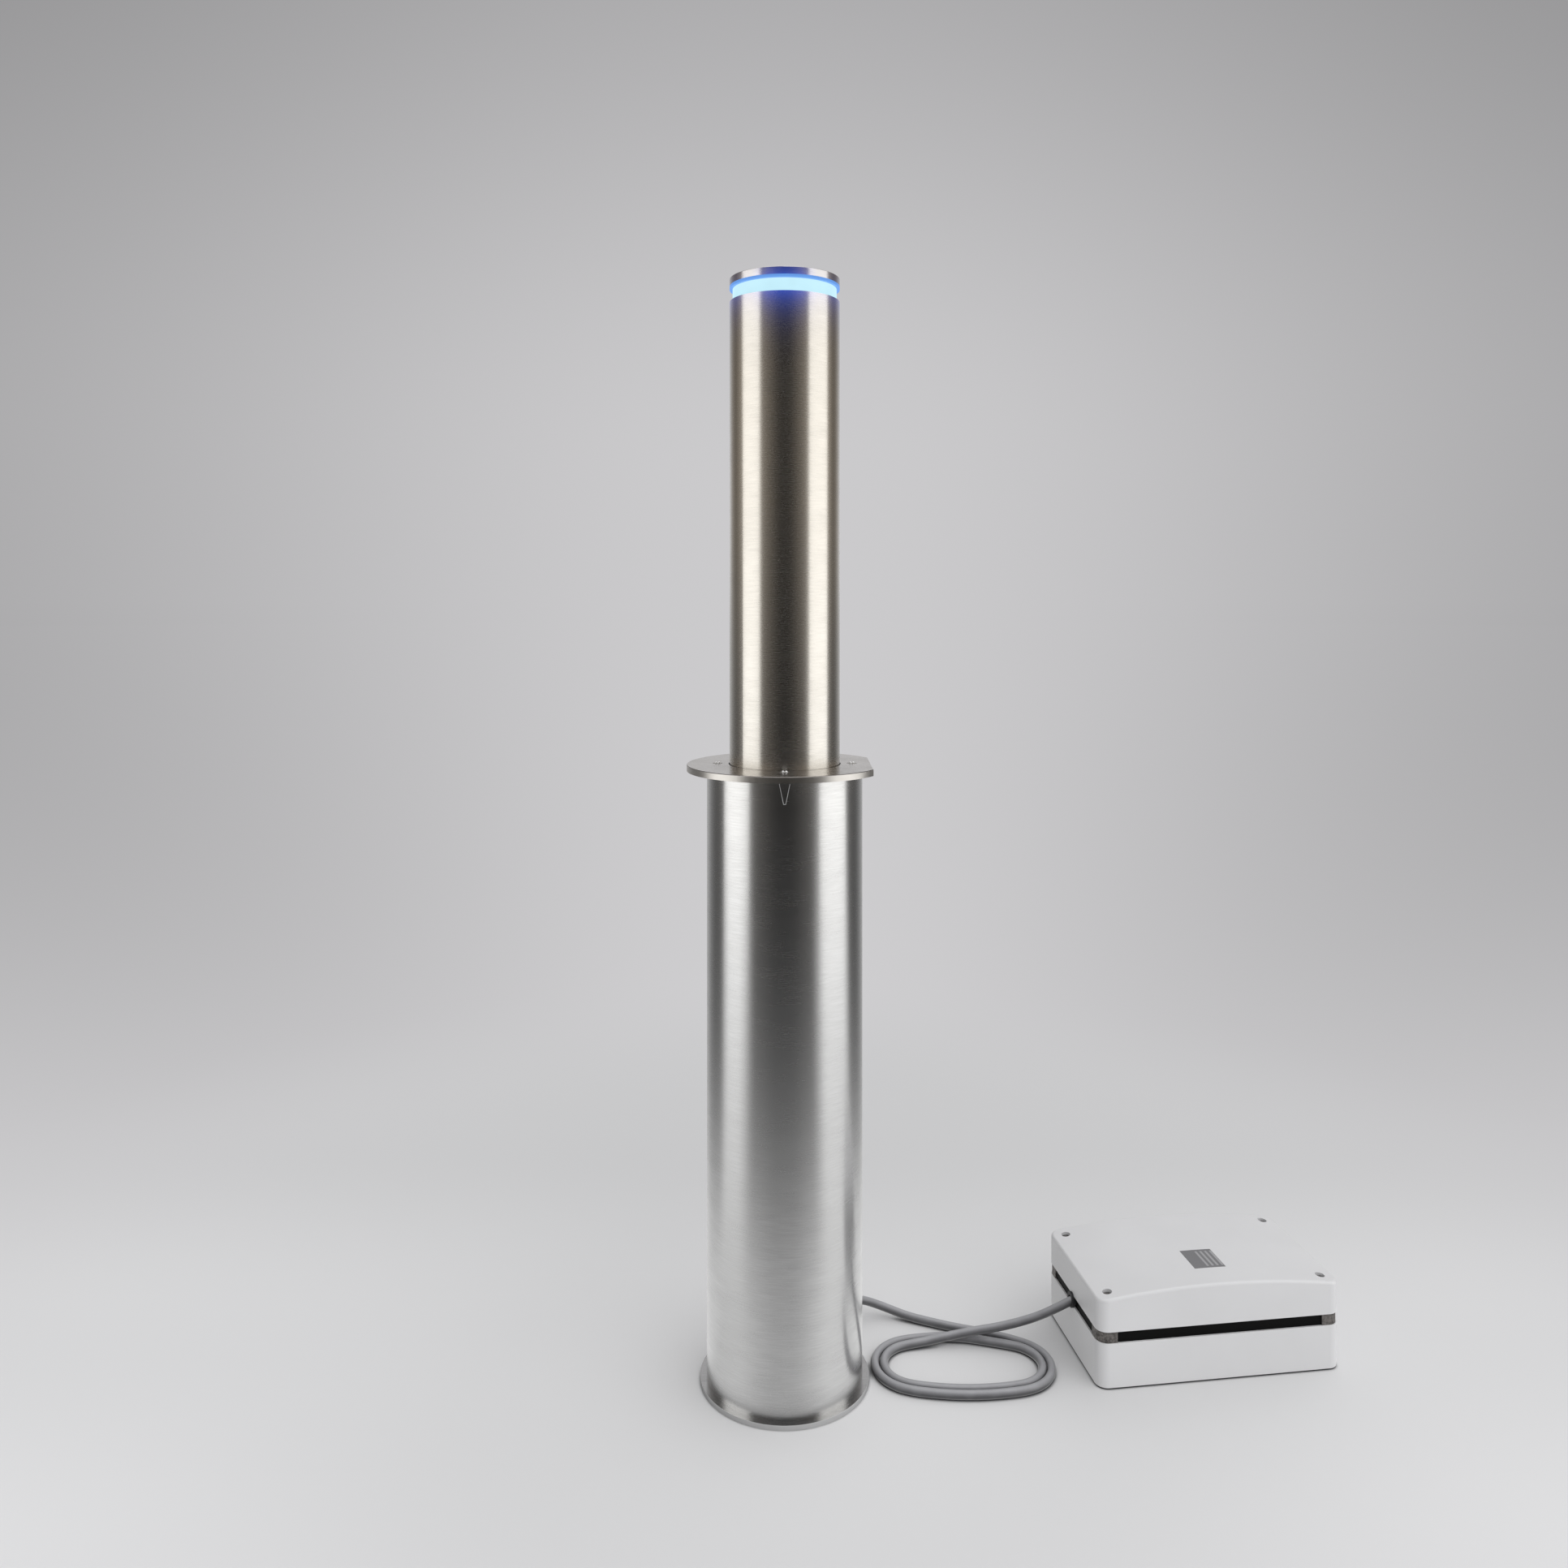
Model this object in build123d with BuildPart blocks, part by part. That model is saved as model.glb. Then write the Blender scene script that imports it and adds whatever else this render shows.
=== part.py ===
from build123d import *
from math import cos, sin, tan, radians, sqrt
import os

os.makedirs("parts", exist_ok=True)

# Automatic bollard: a steel column that a motor drives out of a buried casing,
# with its cable and its control box. The origin is on the axis of the column,
# on the underside of the base plate. Sizes are in millimetres.

# Clearances shared by the pieces that slide or fit
slide_gap = 0.3
bush_gap = 0.1
screw_gap = 0.1
head_gap = 0.5

# Stroke and column
travel = 500.0
column_r = 57.5
column_wall = 3.0
cap_proud = 4.5
cap_t = 7.5
cap_edge = 0.4
diffuser_t = 3.0
diffuser_w = 21.5
lens_h = 13.5
lens_recess = 3.2
lens_wall = 4.0
head_plate_t = 10.0
foot_h = 32.0
foot_lip_t = 6.0
foot_lip_w = 5.0

# Casing, base plate and cover flange
base_plate_rim = 7.0
base_plate_t = 5.0
casing_room = 21.5
casing_wall = 2.0
collar_h = 33.5
bush_wall = 6.2
stop_ring_t = 7.7
stop_ring_gap = 6.5
flange_rim = 21.0
flange_t = 6.5
flange_edge = 0.5
flange_gap = 1.0
flange_flat_rim = 8.5
flange_screw_inset = 6.0
wiper_h = 4.0
foot_room = 55.0

# Heights that follow from the stroke
foot_low = base_plate_t + foot_room
foot_bottom = foot_low + travel
foot_top = foot_bottom + foot_h
column_bottom = foot_bottom + foot_lip_t
collar_bottom = foot_top + slide_gap + stop_ring_t
flange_bottom = collar_bottom + collar_h
flange_top = flange_bottom + flange_t
cap_top = flange_top + cap_proud + travel
cap_bottom = cap_top - cap_t
lens_top = cap_bottom - diffuser_t
column_top = lens_top - lens_h
head_bottom = column_top - head_plate_t
wiper_bottom = flange_bottom - wiper_h

# Radii that follow
column_inner_r = column_r - column_wall
lens_r = column_r - lens_recess
foot_bore_r = column_r - foot_lip_w
flange_bore_r = column_r + flange_gap
guide_bore_r = column_r + slide_gap
collar_bore_r = guide_bore_r + bush_wall
flange_pcd = 2 * (collar_bore_r + flange_screw_inset)
casing_inner_r = column_r + casing_room
casing_r = casing_inner_r + casing_wall
base_plate_r = casing_r + base_plate_rim
flange_r = casing_r + flange_rim
flange_flat_x = casing_r + flange_flat_rim
stop_ring_r = casing_inner_r - stop_ring_gap

# Security screws of the flange: countersunk, with two pin holes
security_r = 2.5
security_head_r = 4.8
security_head_h = 2.4
security_length = 16.0
security_pin_r = 0.9
security_pin_spacing = 3.2
security_pin_depth = 1.5

# Guide rails on the casing wall
rail_w = 8.0
rail_depth = 6.0
rail_gap = 0.5

# Stop posts and their rubber buffers
stop_angles = (35.0, 145.0, 270.0)
stop_inset = 11.0
stop_post_r = 6.0
buffer_r = 6.5
buffer_h = 14.0
stop_circle_r = casing_inner_r - stop_inset

# Screws that hold the foot guide on the column
foot_screw_r = 2.5
foot_screw_head_r = 4.5
foot_screw_head_h = 3.0
foot_screw_depth = 4.0
foot_screw_count = 4
foot_screw_turn = 45.0

# Actuator: gearbox, motor and lead screw side by side inside the column
motor_gap = 4.5
drive_spacing = 43.0
actuator_foot_t = 6.0
actuator_foot_size = (112.0, 52.0)
foot_bolt_spacing = (100.0, 40.0)
foot_bolt_r = 3.0
foot_bolt_head_r = 5.5
foot_bolt_head_h = 4.0
gearbox_h = 29.0
gearbox_screw_r = 24.0
gearbox_motor_r = 26.0
gearbox_lid_t = 4.0
gearbox_lid_step = 1.5
motor_r = 22.0
motor_h = 150.0
motor_cap_h = 18.0
motor_cap_step = 1.0
motor_boss_r = 8.0
motor_boss_h = 5.0
motor_x = column_inner_r - motor_r - motor_gap
screw_x = motor_x - drive_spacing
bearing_r = 16.0
bearing_h = 10.0
journal_r = 6.0
journal_depth = 12.0
screw_r = 7.0
screw_overrun = 15.0
nut_h = 15.0
nut_low_gap = 5.0
nut_spigot_h = 10.0
push_tube_r = 12.0
push_tube_bore_r = 9.0
push_plug_t = 14.0
actuator_tube_wall = 2.0
top_bush_h = 12.0
top_bush_rim_t = 4.0
top_bush_gap = 8.0
push_bolt_r = 5.0
push_bolt_head_r = 8.0
push_bolt_head_h = 6.0
push_bolt_depth = 8.0

actuator_bottom = base_plate_t + actuator_foot_t
gearbox_top = actuator_bottom + gearbox_h
bearing_top = gearbox_top + bearing_h
nut_bottom = bearing_top + nut_low_gap + travel
nut_top = nut_bottom + nut_h
top_bush_bottom = nut_top + top_bush_gap
actuator_tube_top = top_bush_bottom + top_bush_h
actuator_tube_r = bearing_r + actuator_tube_wall
screw_top = nut_top + screw_overrun
actuator_middle_x = (screw_x - gearbox_screw_r + motor_x + gearbox_motor_r) / 2

# End-position sensors strapped on the actuator tube
sensor_strap_t = 3.0
sensor_strap_h = 10.0
sensor_size = (10.0, 12.0, 25.0)

# Light head
led_gap = 6.3
led_strip_t = 1.5
led_strip_h = 9.0
cap_screw_r = 3.0
cap_screw_head_r = 5.8
cap_screw_head_h = 3.0
cap_screw_length = 32.0
cap_screw_pcr = 26.0
cap_screw_count = 3
socket_r = 1.9
socket_depth = 2.0
led_carrier_r = lens_r - lens_wall - led_gap

# Terminal block in the foot of the casing, and the coiled lead to the light
terminal_size = (50.0, 18.0, 25.0)
terminal_x = -14.0
terminal_lead_z = 22.5
terminal_lead_run = 8.0
coiled_lead_r = 6.0
coiled_lead_gap = 8.5
coiled_lead_inset = 4.0
light_wire_r = 4.0
coiled_lead_y = column_inner_r - coiled_lead_r - coiled_lead_gap
terminal_y = coiled_lead_y + coiled_lead_inset
terminal_end_x = terminal_x + terminal_size[0] / 2

# Drain in the base plate
drain_r = 12.5
drain_x = -34.0
drain_y = -54.0

# Cable gland at the back right of the casing
gland_angle = 55.0
gland_height = 22.0
gland_thread_r = 8.0
gland_hex_r = 11.5
gland_hex_t = 6.0
gland_neck_r = 8.5
gland_neck_h = 7.0
gland_nut_r = 10.0
gland_nut_tip_r = 6.8
gland_nut_h = 15.0
gland_inside = 9.0
gland_lead_run = 10.0
gland_cable_run = 27.0
locknut_t = 4.0
locknut_r = 11.0
seal_t = 5.0
gland_z = base_plate_t + gland_height
locknut_seat = sqrt(casing_inner_r**2 - locknut_r**2)

# Cable: nine millimetres thick, in one length from the gland to the control box
cable_r = 4.5
cable_gap = 0.3
inner_lead_r = 3.0

# Oval coil of two turns on the floor. The inner turn has round ends, four cable
# diameters in radius, joined by flatter arcs. The outer turn runs beside it.
coil_gap = 2.2
coil_y = 12.5
coil_end_r = 36.0
coil_end_x = 47.8
coil_side_r = 229.4
coil_turn_gap = 0.5
coil_pitch = 2 * cable_r + coil_turn_gap
coil_x = base_plate_r + coil_gap + cable_r + coil_pitch + coil_end_x + coil_end_r

# Places that the cable passes on its way to the coil and from it, from the middle of the coil
lead_in_places = (
    (-102.0, 108.0, 21.0),
    (-77.0, 110.0, 11.5),
    (-51.5, 101.5, 5.5),
    (-25.0, 91.0, cable_r),
    (2.0, 80.0, cable_r),
    (26.0, 72.5, cable_r),
    (48.0, 63.5, cable_r),
    (67.0, 49.5, cable_r),
)
lead_out_places = (
    (-38.0, 50.5, 6.0),
    (-20.0, 53.0, 8.5),
    (0.0, 54.5, 12.0),
    (21.0, 54.5, 16.0),
    (43.0, 53.0, 20.5),
    (64.0, 51.0, 26.5),
    (84.0, 48.5, 34.0),
    (103.0, 47.0, 43.0),
)

# Control box, turned a little to the bollard
box_turn = 8.0
box_gap = 134.0
box_front_y = -25.0
box_length = 267.0
box_depth = 150.0
box_radius = 12.0
box_wall = 3.0
box_base_h = 47.0
box_band_h = 11.5
box_band_recess = 2.0
box_band_w = 6.0
band_corner_t = 1.2
band_corner_w = 20.0
box_plinth_h = 1.4
box_plinth_inset = 1.6
box_lid_h = 32.0
box_lid_arch = 9.5
box_lid_edge = 3.0
box_post_r = 6.5
box_post_inset = 15.0
lid_screw_r = 2.0
lid_screw_head_r = 4.0
lid_screw_head_h = 3.0
lid_recess_r = 5.0
lid_recess_depth = 4.0
box_fixing_r = 2.5
box_fixing_inset = (38.5, 17.0)
grommet_r = 6.8
grommet_collar_r = 8.0
grommet_collar_t = 2.5
box_lead_run = 14.0

# Control board and what stands on it
board_margin = (35.5, 23.0)
board_t = 1.6
board_post_h = 7.0
board_post_r = 3.5
board_hole_inset = 6.0
board_hole_r = 1.6
board_screw_head_r = 2.8
board_screw_head_h = 1.8
transformer_size = (50.0, 44.0, 40.0)
transformer_flange_size = (66.0, 44.0, 4.0)
transformer_inset = 48.0
transformer_y = 18.0
terminal_strip_size = (14.0, 80.0, 16.0)
terminal_strip_inset = 18.0
terminal_ways = 8
terminal_screw_r = 2.2
terminal_screw_depth = 2.0
relay_size = (20.0, 16.0, 16.0)
relay_count = 4
relay_spacing = 22.0
relay_x = -40.0
capacitor_r = 11.0
capacitor_h = 32.0
capacitor_x = 0.0
capacitor_y = -30.0

board_size = (box_length - 2 * board_margin[0], box_depth - 2 * board_margin[1])
board_hole_spacing = (board_size[0] - 2 * board_hole_inset, board_size[1] - 2 * board_hole_inset)
terminal_strip_x = terminal_strip_inset - board_size[0] / 2
transformer_x = board_size[0] / 2 - transformer_inset
box_fixing_x = box_length / 2 - box_fixing_inset[0]
box_fixing_y = box_depth / 2 - box_fixing_inset[1]
board_bottom = box_wall + board_post_h
board_top = board_bottom + board_t
band_bottom = box_base_h
band_top = box_base_h + box_band_h
lid_side_top = band_top + box_lid_h
lid_crown = lid_side_top + box_lid_arch
box_u = (cos(radians(box_turn)), sin(radians(box_turn)))
box_v = (-box_u[1], box_u[0])
box_corner = (coil_x + box_gap, box_front_y)
box_x = box_corner[0] + (box_length * box_u[0] + box_depth * box_v[0]) / 2
box_y = box_corner[1] + (box_length * box_u[1] + box_depth * box_v[1]) / 2
box_plane = Plane(origin=(box_x, box_y, 0), x_dir=(*box_u, 0), z_dir=(0, 0, 1))
box_side = Plane(origin=(box_x, box_y, 0), x_dir=(*box_u, 0), z_dir=(-box_v[0], -box_v[1], 0))
box_end = Plane(origin=(box_x, box_y, 0), x_dir=(-box_v[0], -box_v[1], 0), z_dir=(-box_u[0], -box_u[1], 0))
cable_entry_z = band_bottom + box_band_h / 2


def radial_plane(radius, angle, height):
    """A plane that faces away from the column's axis, with its Y up."""
    out = (cos(radians(angle)), sin(radians(angle)))
    place = (radius * out[0], radius * out[1], height)
    return Plane(origin=place, x_dir=(-out[1], out[0], 0), z_dir=(*out, 0))


def box_point(along, across, height):
    """A point in the control box's own directions, as row coordinates."""
    place = box_plane.from_local_coords(Vector(along, across, height))
    return (place.X, place.Y, place.Z)


def arc_radii(points):
    """The radius at each corner of a cable's route: as large as its two runs allow."""
    radii = []
    for before, corner, after in zip(points, points[1:], points[2:]):
        run_in = Vector(*corner) - Vector(*before)
        run_out = Vector(*after) - Vector(*corner)
        turn = run_in.get_angle(run_out)
        shorter = min(run_in.length, run_out.length)
        radii.append(0.45 * shorter / tan(radians(turn / 2)))
    return radii


def report_cable(name, route, length):
    """Print a cable's length and the radii of its bends."""
    radii = [round(radius, 1) for radius in arc_radii(route)]
    print(f"{name}: length {length:.1f}, radii {radii}")


def countersunk_screw(head_r, head_h, shank_r, length):
    """A countersunk screw that hangs from the origin, with a plain shank."""
    with BuildPart() as screw:
        with BuildSketch(Plane.XZ):
            with BuildLine():
                Polyline(
                    (0, 0),
                    (head_r, 0),
                    (shank_r, -head_h),
                    (shank_r, -length),
                    (0, -length),
                    close=True,
                )
            make_face()
        revolve(axis=Axis.Z)
    return screw.part


# Base plate: a round steel foot with a drain hole beside the actuator
with BuildPart() as base_plate:
    with BuildSketch(Plane.XY):
        Circle(base_plate_r)
        with Locations((drain_x, drain_y)):
            Circle(drain_r, mode=Mode.SUBTRACT)
    extrude(amount=base_plate_t)
    chamfer(base_plate.edges().group_by(Axis.Z)[-1].sort_by(SortBy.LENGTH)[-1], length=cap_edge / 2)
base_plate.part.label = "base_plate"
export_step(base_plate.part, "parts/base_plate.step")

# Casing tube: stands on the base plate, with one hole for the cable gland
with BuildPart() as casing_tube:
    with BuildSketch(Plane.XY.offset(base_plate_t)):
        Circle(casing_r)
        Circle(casing_inner_r, mode=Mode.SUBTRACT)
    extrude(amount=flange_bottom - base_plate_t)
    with BuildSketch(radial_plane(casing_r + casing_wall, gland_angle, gland_z)):
        Circle(gland_thread_r + screw_gap)
    extrude(amount=-4 * casing_wall, mode=Mode.SUBTRACT)
casing_tube.part.label = "casing_tube"
export_step(casing_tube.part, "parts/casing_tube.step")

# Casing collar: welded in the top of the tube, tapped for the flange screws
with BuildPart() as casing_collar:
    with BuildSketch(Plane.XY.offset(collar_bottom)):
        Circle(casing_inner_r)
        Circle(collar_bore_r, mode=Mode.SUBTRACT)
    extrude(amount=collar_h)
    with BuildSketch(Plane.XY.offset(flange_bottom)):
        with PolarLocations(flange_pcd / 2, 4):
            Circle(security_r + screw_gap)
    extrude(amount=-security_length, mode=Mode.SUBTRACT)
casing_collar.part.label = "casing_collar"
export_step(casing_collar.part, "parts/casing_collar.step")

# Cover flange: the plate that lies level with the ground, with one straight side
with BuildPart() as cover_flange:
    with BuildSketch(Plane.XY.offset(flange_bottom)):
        Circle(flange_r)
        Circle(flange_bore_r, mode=Mode.SUBTRACT)
        with Locations((flange_flat_x + flange_r, 0)):
            Rectangle(2 * flange_r, 2 * flange_r, mode=Mode.SUBTRACT)
    extrude(amount=flange_t)
    outline = cover_flange.faces().sort_by(Axis.Z)[-1].outer_wire().edges()
    chamfer(outline, length=flange_edge)
    with Locations((0, 0, flange_top)):
        with PolarLocations(flange_pcd / 2, 4):
            CounterSinkHole(security_r + screw_gap, security_head_r + head_gap)
cover_flange.part.label = "cover_flange"
export_step(cover_flange.part, "parts/cover_flange.step")

# Flange screws: four security screws, each with two pin holes in its head
security_screw = countersunk_screw(security_head_r, security_head_h, security_r, security_length)
with BuildPart() as flange_screws:
    with Locations((0, 0, flange_top - slide_gap)):
        with PolarLocations(flange_pcd / 2, 4, rotate=False):
            add(security_screw)
    with BuildSketch(Plane.XY.offset(flange_top)):
        with PolarLocations(flange_pcd / 2, 4, rotate=False):
            with GridLocations(security_pin_spacing, 0, 2, 1):
                Circle(security_pin_r)
    extrude(amount=-security_pin_depth, mode=Mode.SUBTRACT)
flange_screws.part.label = "flange_screws"
export_step(flange_screws.part, "parts/flange_screws.step")

# Wiper seal: a rubber lip between the flange and the guide bush
with BuildPart() as wiper_seal:
    with BuildSketch(Plane.XZ):
        with BuildLine():
            Polyline(
                (guide_bore_r + flange_gap, wiper_bottom),
                (collar_bore_r, wiper_bottom),
                (collar_bore_r, flange_bottom),
                (guide_bore_r, flange_bottom),
                close=True,
            )
        make_face()
    revolve(axis=Axis.Z)
wiper_seal.part.label = "wiper_seal"
export_step(wiper_seal.part, "parts/wiper_seal.step")

# Guide bush: a plastic sleeve in the collar that the column slides through
with BuildPart() as guide_bush:
    with BuildSketch(Plane.XY.offset(collar_bottom)):
        Circle(collar_bore_r)
        Circle(guide_bore_r, mode=Mode.SUBTRACT)
    extrude(amount=collar_h - wiper_h)
guide_bush.part.label = "guide_bush"
export_step(guide_bush.part, "parts/guide_bush.step")

# Upper stop ring: rubber, under the collar, where the column's foot ends its travel
with BuildPart() as upper_stop_ring:
    with BuildSketch(Plane.XY.offset(collar_bottom)):
        Circle(stop_ring_r)
        Circle(guide_bore_r + flange_gap, mode=Mode.SUBTRACT)
    extrude(amount=-stop_ring_t)
upper_stop_ring.part.label = "upper_stop_ring"
export_step(upper_stop_ring.part, "parts/upper_stop_ring.step")

# Guide rails: two bars on the casing wall that keep the column from turning
with BuildPart() as guide_rails:
    with BuildSketch(Plane.XY.offset(base_plate_t)):
        Circle(casing_inner_r)
        Circle(casing_inner_r - rail_depth, mode=Mode.SUBTRACT)
        Rectangle(2 * casing_r, rail_w, mode=Mode.INTERSECT)
    extrude(amount=collar_bottom - base_plate_t)
guide_rails.part.label = "guide_rails"
export_step(guide_rails.part, "parts/guide_rails.step")

# Stop posts: three steel studs on the base plate
with BuildPart() as stop_posts:
    with BuildSketch(Plane.XY.offset(base_plate_t)):
        for angle in stop_angles:
            with PolarLocations(stop_circle_r, 1, start_angle=angle):
                Circle(stop_post_r)
    extrude(amount=foot_room - slide_gap - buffer_h)
stop_posts.part.label = "stop_posts"
export_step(stop_posts.part, "parts/stop_posts.step")

# Stop buffers: the rubber caps that the lowered column comes down on
with BuildPart() as stop_buffers:
    with BuildSketch(Plane.XY.offset(foot_low - slide_gap)):
        for angle in stop_angles:
            with PolarLocations(stop_circle_r, 1, start_angle=angle):
                Circle(buffer_r)
    extrude(amount=-buffer_h)
    fillet(stop_buffers.edges().group_by(Axis.Z)[-1], radius=buffer_r / 4)
stop_buffers.part.label = "stop_buffers"
export_step(stop_buffers.part, "parts/stop_buffers.step")

# Actuator foot: the plate that carries the gearbox
with BuildPart() as actuator_foot:
    with BuildSketch(Plane.XY.offset(base_plate_t)):
        with Locations((actuator_middle_x, 0)):
            RectangleRounded(*actuator_foot_size, foot_bolt_head_r)
            with GridLocations(*foot_bolt_spacing, 2, 2):
                Circle(foot_bolt_r + screw_gap, mode=Mode.SUBTRACT)
    extrude(amount=actuator_foot_t)
actuator_foot.part.label = "actuator_foot"
export_step(actuator_foot.part, "parts/actuator_foot.step")

# Foot bolts: four hexagon bolts through the actuator foot
with BuildPart() as foot_bolts:
    with BuildSketch(Plane.XY.offset(actuator_bottom)):
        with Locations((actuator_middle_x, 0)):
            with GridLocations(*foot_bolt_spacing, 2, 2):
                RegularPolygon(foot_bolt_head_r, 6)
    extrude(amount=foot_bolt_head_h)
    with BuildSketch(Plane.XY.offset(actuator_bottom)):
        with Locations((actuator_middle_x, 0)):
            with GridLocations(*foot_bolt_spacing, 2, 2):
                Circle(foot_bolt_r)
    extrude(amount=-actuator_foot_t)
foot_bolts.part.label = "foot_bolts"
export_step(foot_bolts.part, "parts/foot_bolts.step")

# Gearbox: a sealed cast housing round the gear train, with its lid step
with BuildPart() as gearbox:
    with BuildSketch(Plane.XY.offset(actuator_bottom)):
        with Locations((screw_x, 0)):
            Circle(gearbox_screw_r)
        with Locations((motor_x, 0)):
            Circle(gearbox_motor_r)
        make_hull()
    extrude(amount=gearbox_h - gearbox_lid_t)
    with BuildSketch(Plane.XY.offset(gearbox_top)):
        with Locations((screw_x, 0)):
            Circle(gearbox_screw_r - gearbox_lid_step)
        with Locations((motor_x, 0)):
            Circle(gearbox_motor_r - gearbox_lid_step)
        make_hull()
    extrude(amount=-gearbox_lid_t)
    with BuildSketch(Plane.XY.offset(gearbox_top)):
        with Locations((screw_x, 0)):
            Circle(journal_r + bush_gap)
    extrude(amount=-journal_depth - slide_gap, mode=Mode.SUBTRACT)
gearbox.part.label = "gearbox"
export_step(gearbox.part, "parts/gearbox.step")

# Motor: a sealed can that stands on the gearbox beside the screw
with BuildPart() as motor:
    with BuildSketch(Plane.XZ.offset(0)):
        with BuildLine():
            Polyline(
                (motor_x, gearbox_top),
                (motor_x + motor_r, gearbox_top),
                (motor_x + motor_r, gearbox_top + motor_h - motor_cap_h),
                (motor_x + motor_r - motor_cap_step, gearbox_top + motor_h - motor_cap_h),
                (motor_x + motor_r - motor_cap_step, gearbox_top + motor_h),
                (motor_x + motor_boss_r, gearbox_top + motor_h),
                (motor_x + motor_boss_r, gearbox_top + motor_h + motor_boss_h),
                (motor_x, gearbox_top + motor_h + motor_boss_h),
                close=True,
            )
        make_face()
    revolve(axis=Axis((motor_x, 0, 0), (0, 0, 1)))
motor.part.label = "motor"
export_step(motor.part, "parts/motor.step")

# Screw bearing: a sealed ball bearing in the foot of the actuator tube
with BuildPart() as screw_bearing:
    with BuildSketch(Plane.XY.offset(gearbox_top)):
        with Locations((screw_x, 0)):
            Circle(bearing_r)
            Circle(journal_r + bush_gap, mode=Mode.SUBTRACT)
    extrude(amount=bearing_h)
screw_bearing.part.label = "screw_bearing"
export_step(screw_bearing.part, "parts/screw_bearing.step")

# Actuator tube: the fixed outer tube round the lead screw
with BuildPart() as actuator_tube:
    with BuildSketch(Plane.XY.offset(gearbox_top)):
        with Locations((screw_x, 0)):
            Circle(actuator_tube_r)
            Circle(bearing_r, mode=Mode.SUBTRACT)
    extrude(amount=actuator_tube_top - gearbox_top)
actuator_tube.part.label = "actuator_tube"
export_step(actuator_tube.part, "parts/actuator_tube.step")

# Top bush: guides the push tube in the end of the actuator tube
with BuildPart() as top_bush:
    with BuildSketch(Plane.XY.offset(top_bush_bottom)):
        with Locations((screw_x, 0)):
            Circle(bearing_r)
    extrude(amount=top_bush_h)
    with BuildSketch(Plane.XY.offset(actuator_tube_top)):
        with Locations((screw_x, 0)):
            Circle(actuator_tube_r)
    extrude(amount=top_bush_rim_t)
    with Locations((screw_x, 0, actuator_tube_top + top_bush_rim_t)):
        Hole(push_tube_r + slide_gap)
top_bush.part.label = "top_bush"
export_step(top_bush.part, "parts/top_bush.step")


def sensor(height):
    """One end-position sensor: a strap round the actuator tube and its block."""
    with BuildPart() as block:
        with BuildSketch(Plane.XY.offset(height)):
            with Locations((screw_x, 0)):
                Circle(actuator_tube_r + sensor_strap_t)
            with Locations((screw_x - actuator_tube_r - sensor_size[0] / 2, 0)):
                Rectangle(sensor_size[0], sensor_size[1])
            with Locations((screw_x, 0)):
                Circle(actuator_tube_r, mode=Mode.SUBTRACT)
        extrude(amount=sensor_strap_h)
        with BuildSketch(Plane.XY.offset(height)):
            with Locations((screw_x - actuator_tube_r - sensor_strap_t - sensor_size[0] / 2, 0)):
                Rectangle(sensor_size[0], sensor_size[1])
        extrude(amount=sensor_size[2])
    return block


# Lower sensor: sees the drive nut at the bottom of its stroke
lower_sensor = sensor(nut_bottom - travel)
lower_sensor.part.label = "lower_sensor"
export_step(lower_sensor.part, "parts/lower_sensor.step")

# Upper sensor: sees the drive nut at the top of its stroke
upper_sensor = sensor(nut_bottom - sensor_strap_h)
upper_sensor.part.label = "upper_sensor"
export_step(upper_sensor.part, "parts/upper_sensor.step")

# Lead screw: its journal turns in the gearbox and the bearing
with BuildPart() as lead_screw:
    with BuildSketch(Plane.XY.offset(gearbox_top - journal_depth)):
        with Locations((screw_x, 0)):
            Circle(journal_r)
    extrude(amount=journal_depth + bearing_h + slide_gap)
    with BuildSketch(Plane.XY.offset(bearing_top + slide_gap)):
        with Locations((screw_x, 0)):
            Circle(screw_r)
    extrude(amount=screw_top - bearing_top - slide_gap)
    chamfer(lead_screw.edges().group_by(Axis.Z)[-1], length=screw_r / 7)
lead_screw.part.label = "lead_screw"
export_step(lead_screw.part, "parts/lead_screw.step")

# Drive nut: runs on the screw and carries the push tube on its spigot
with BuildPart() as drive_nut:
    with BuildSketch(Plane.XY.offset(nut_bottom)):
        with Locations((screw_x, 0)):
            Circle(bearing_r - slide_gap)
    extrude(amount=nut_h)
    with BuildSketch(Plane.XY.offset(nut_top)):
        with Locations((screw_x, 0)):
            Circle(push_tube_bore_r)
    extrude(amount=nut_spigot_h)
    with Locations((screw_x, 0, nut_top + nut_spigot_h)):
        Hole(screw_r + screw_gap)
drive_nut.part.label = "drive_nut"
export_step(drive_nut.part, "parts/drive_nut.step")

# Push tube: from the nut to the head plate, closed and tapped at its top
with BuildPart() as push_tube:
    with BuildSketch(Plane.XY.offset(nut_top)):
        with Locations((screw_x, 0)):
            Circle(push_tube_r)
    extrude(amount=head_bottom - nut_top)
    with BuildSketch(Plane.XY.offset(nut_top)):
        with Locations((screw_x, 0)):
            Circle(push_tube_bore_r)
    extrude(amount=head_bottom - nut_top - push_plug_t, mode=Mode.SUBTRACT)
    with BuildSketch(Plane.XY.offset(head_bottom)):
        with Locations((screw_x, 0)):
            Circle(push_bolt_r + screw_gap)
    extrude(amount=-push_bolt_depth - slide_gap, mode=Mode.SUBTRACT)
push_tube.part.label = "push_tube"
export_step(push_tube.part, "parts/push_tube.step")

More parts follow.
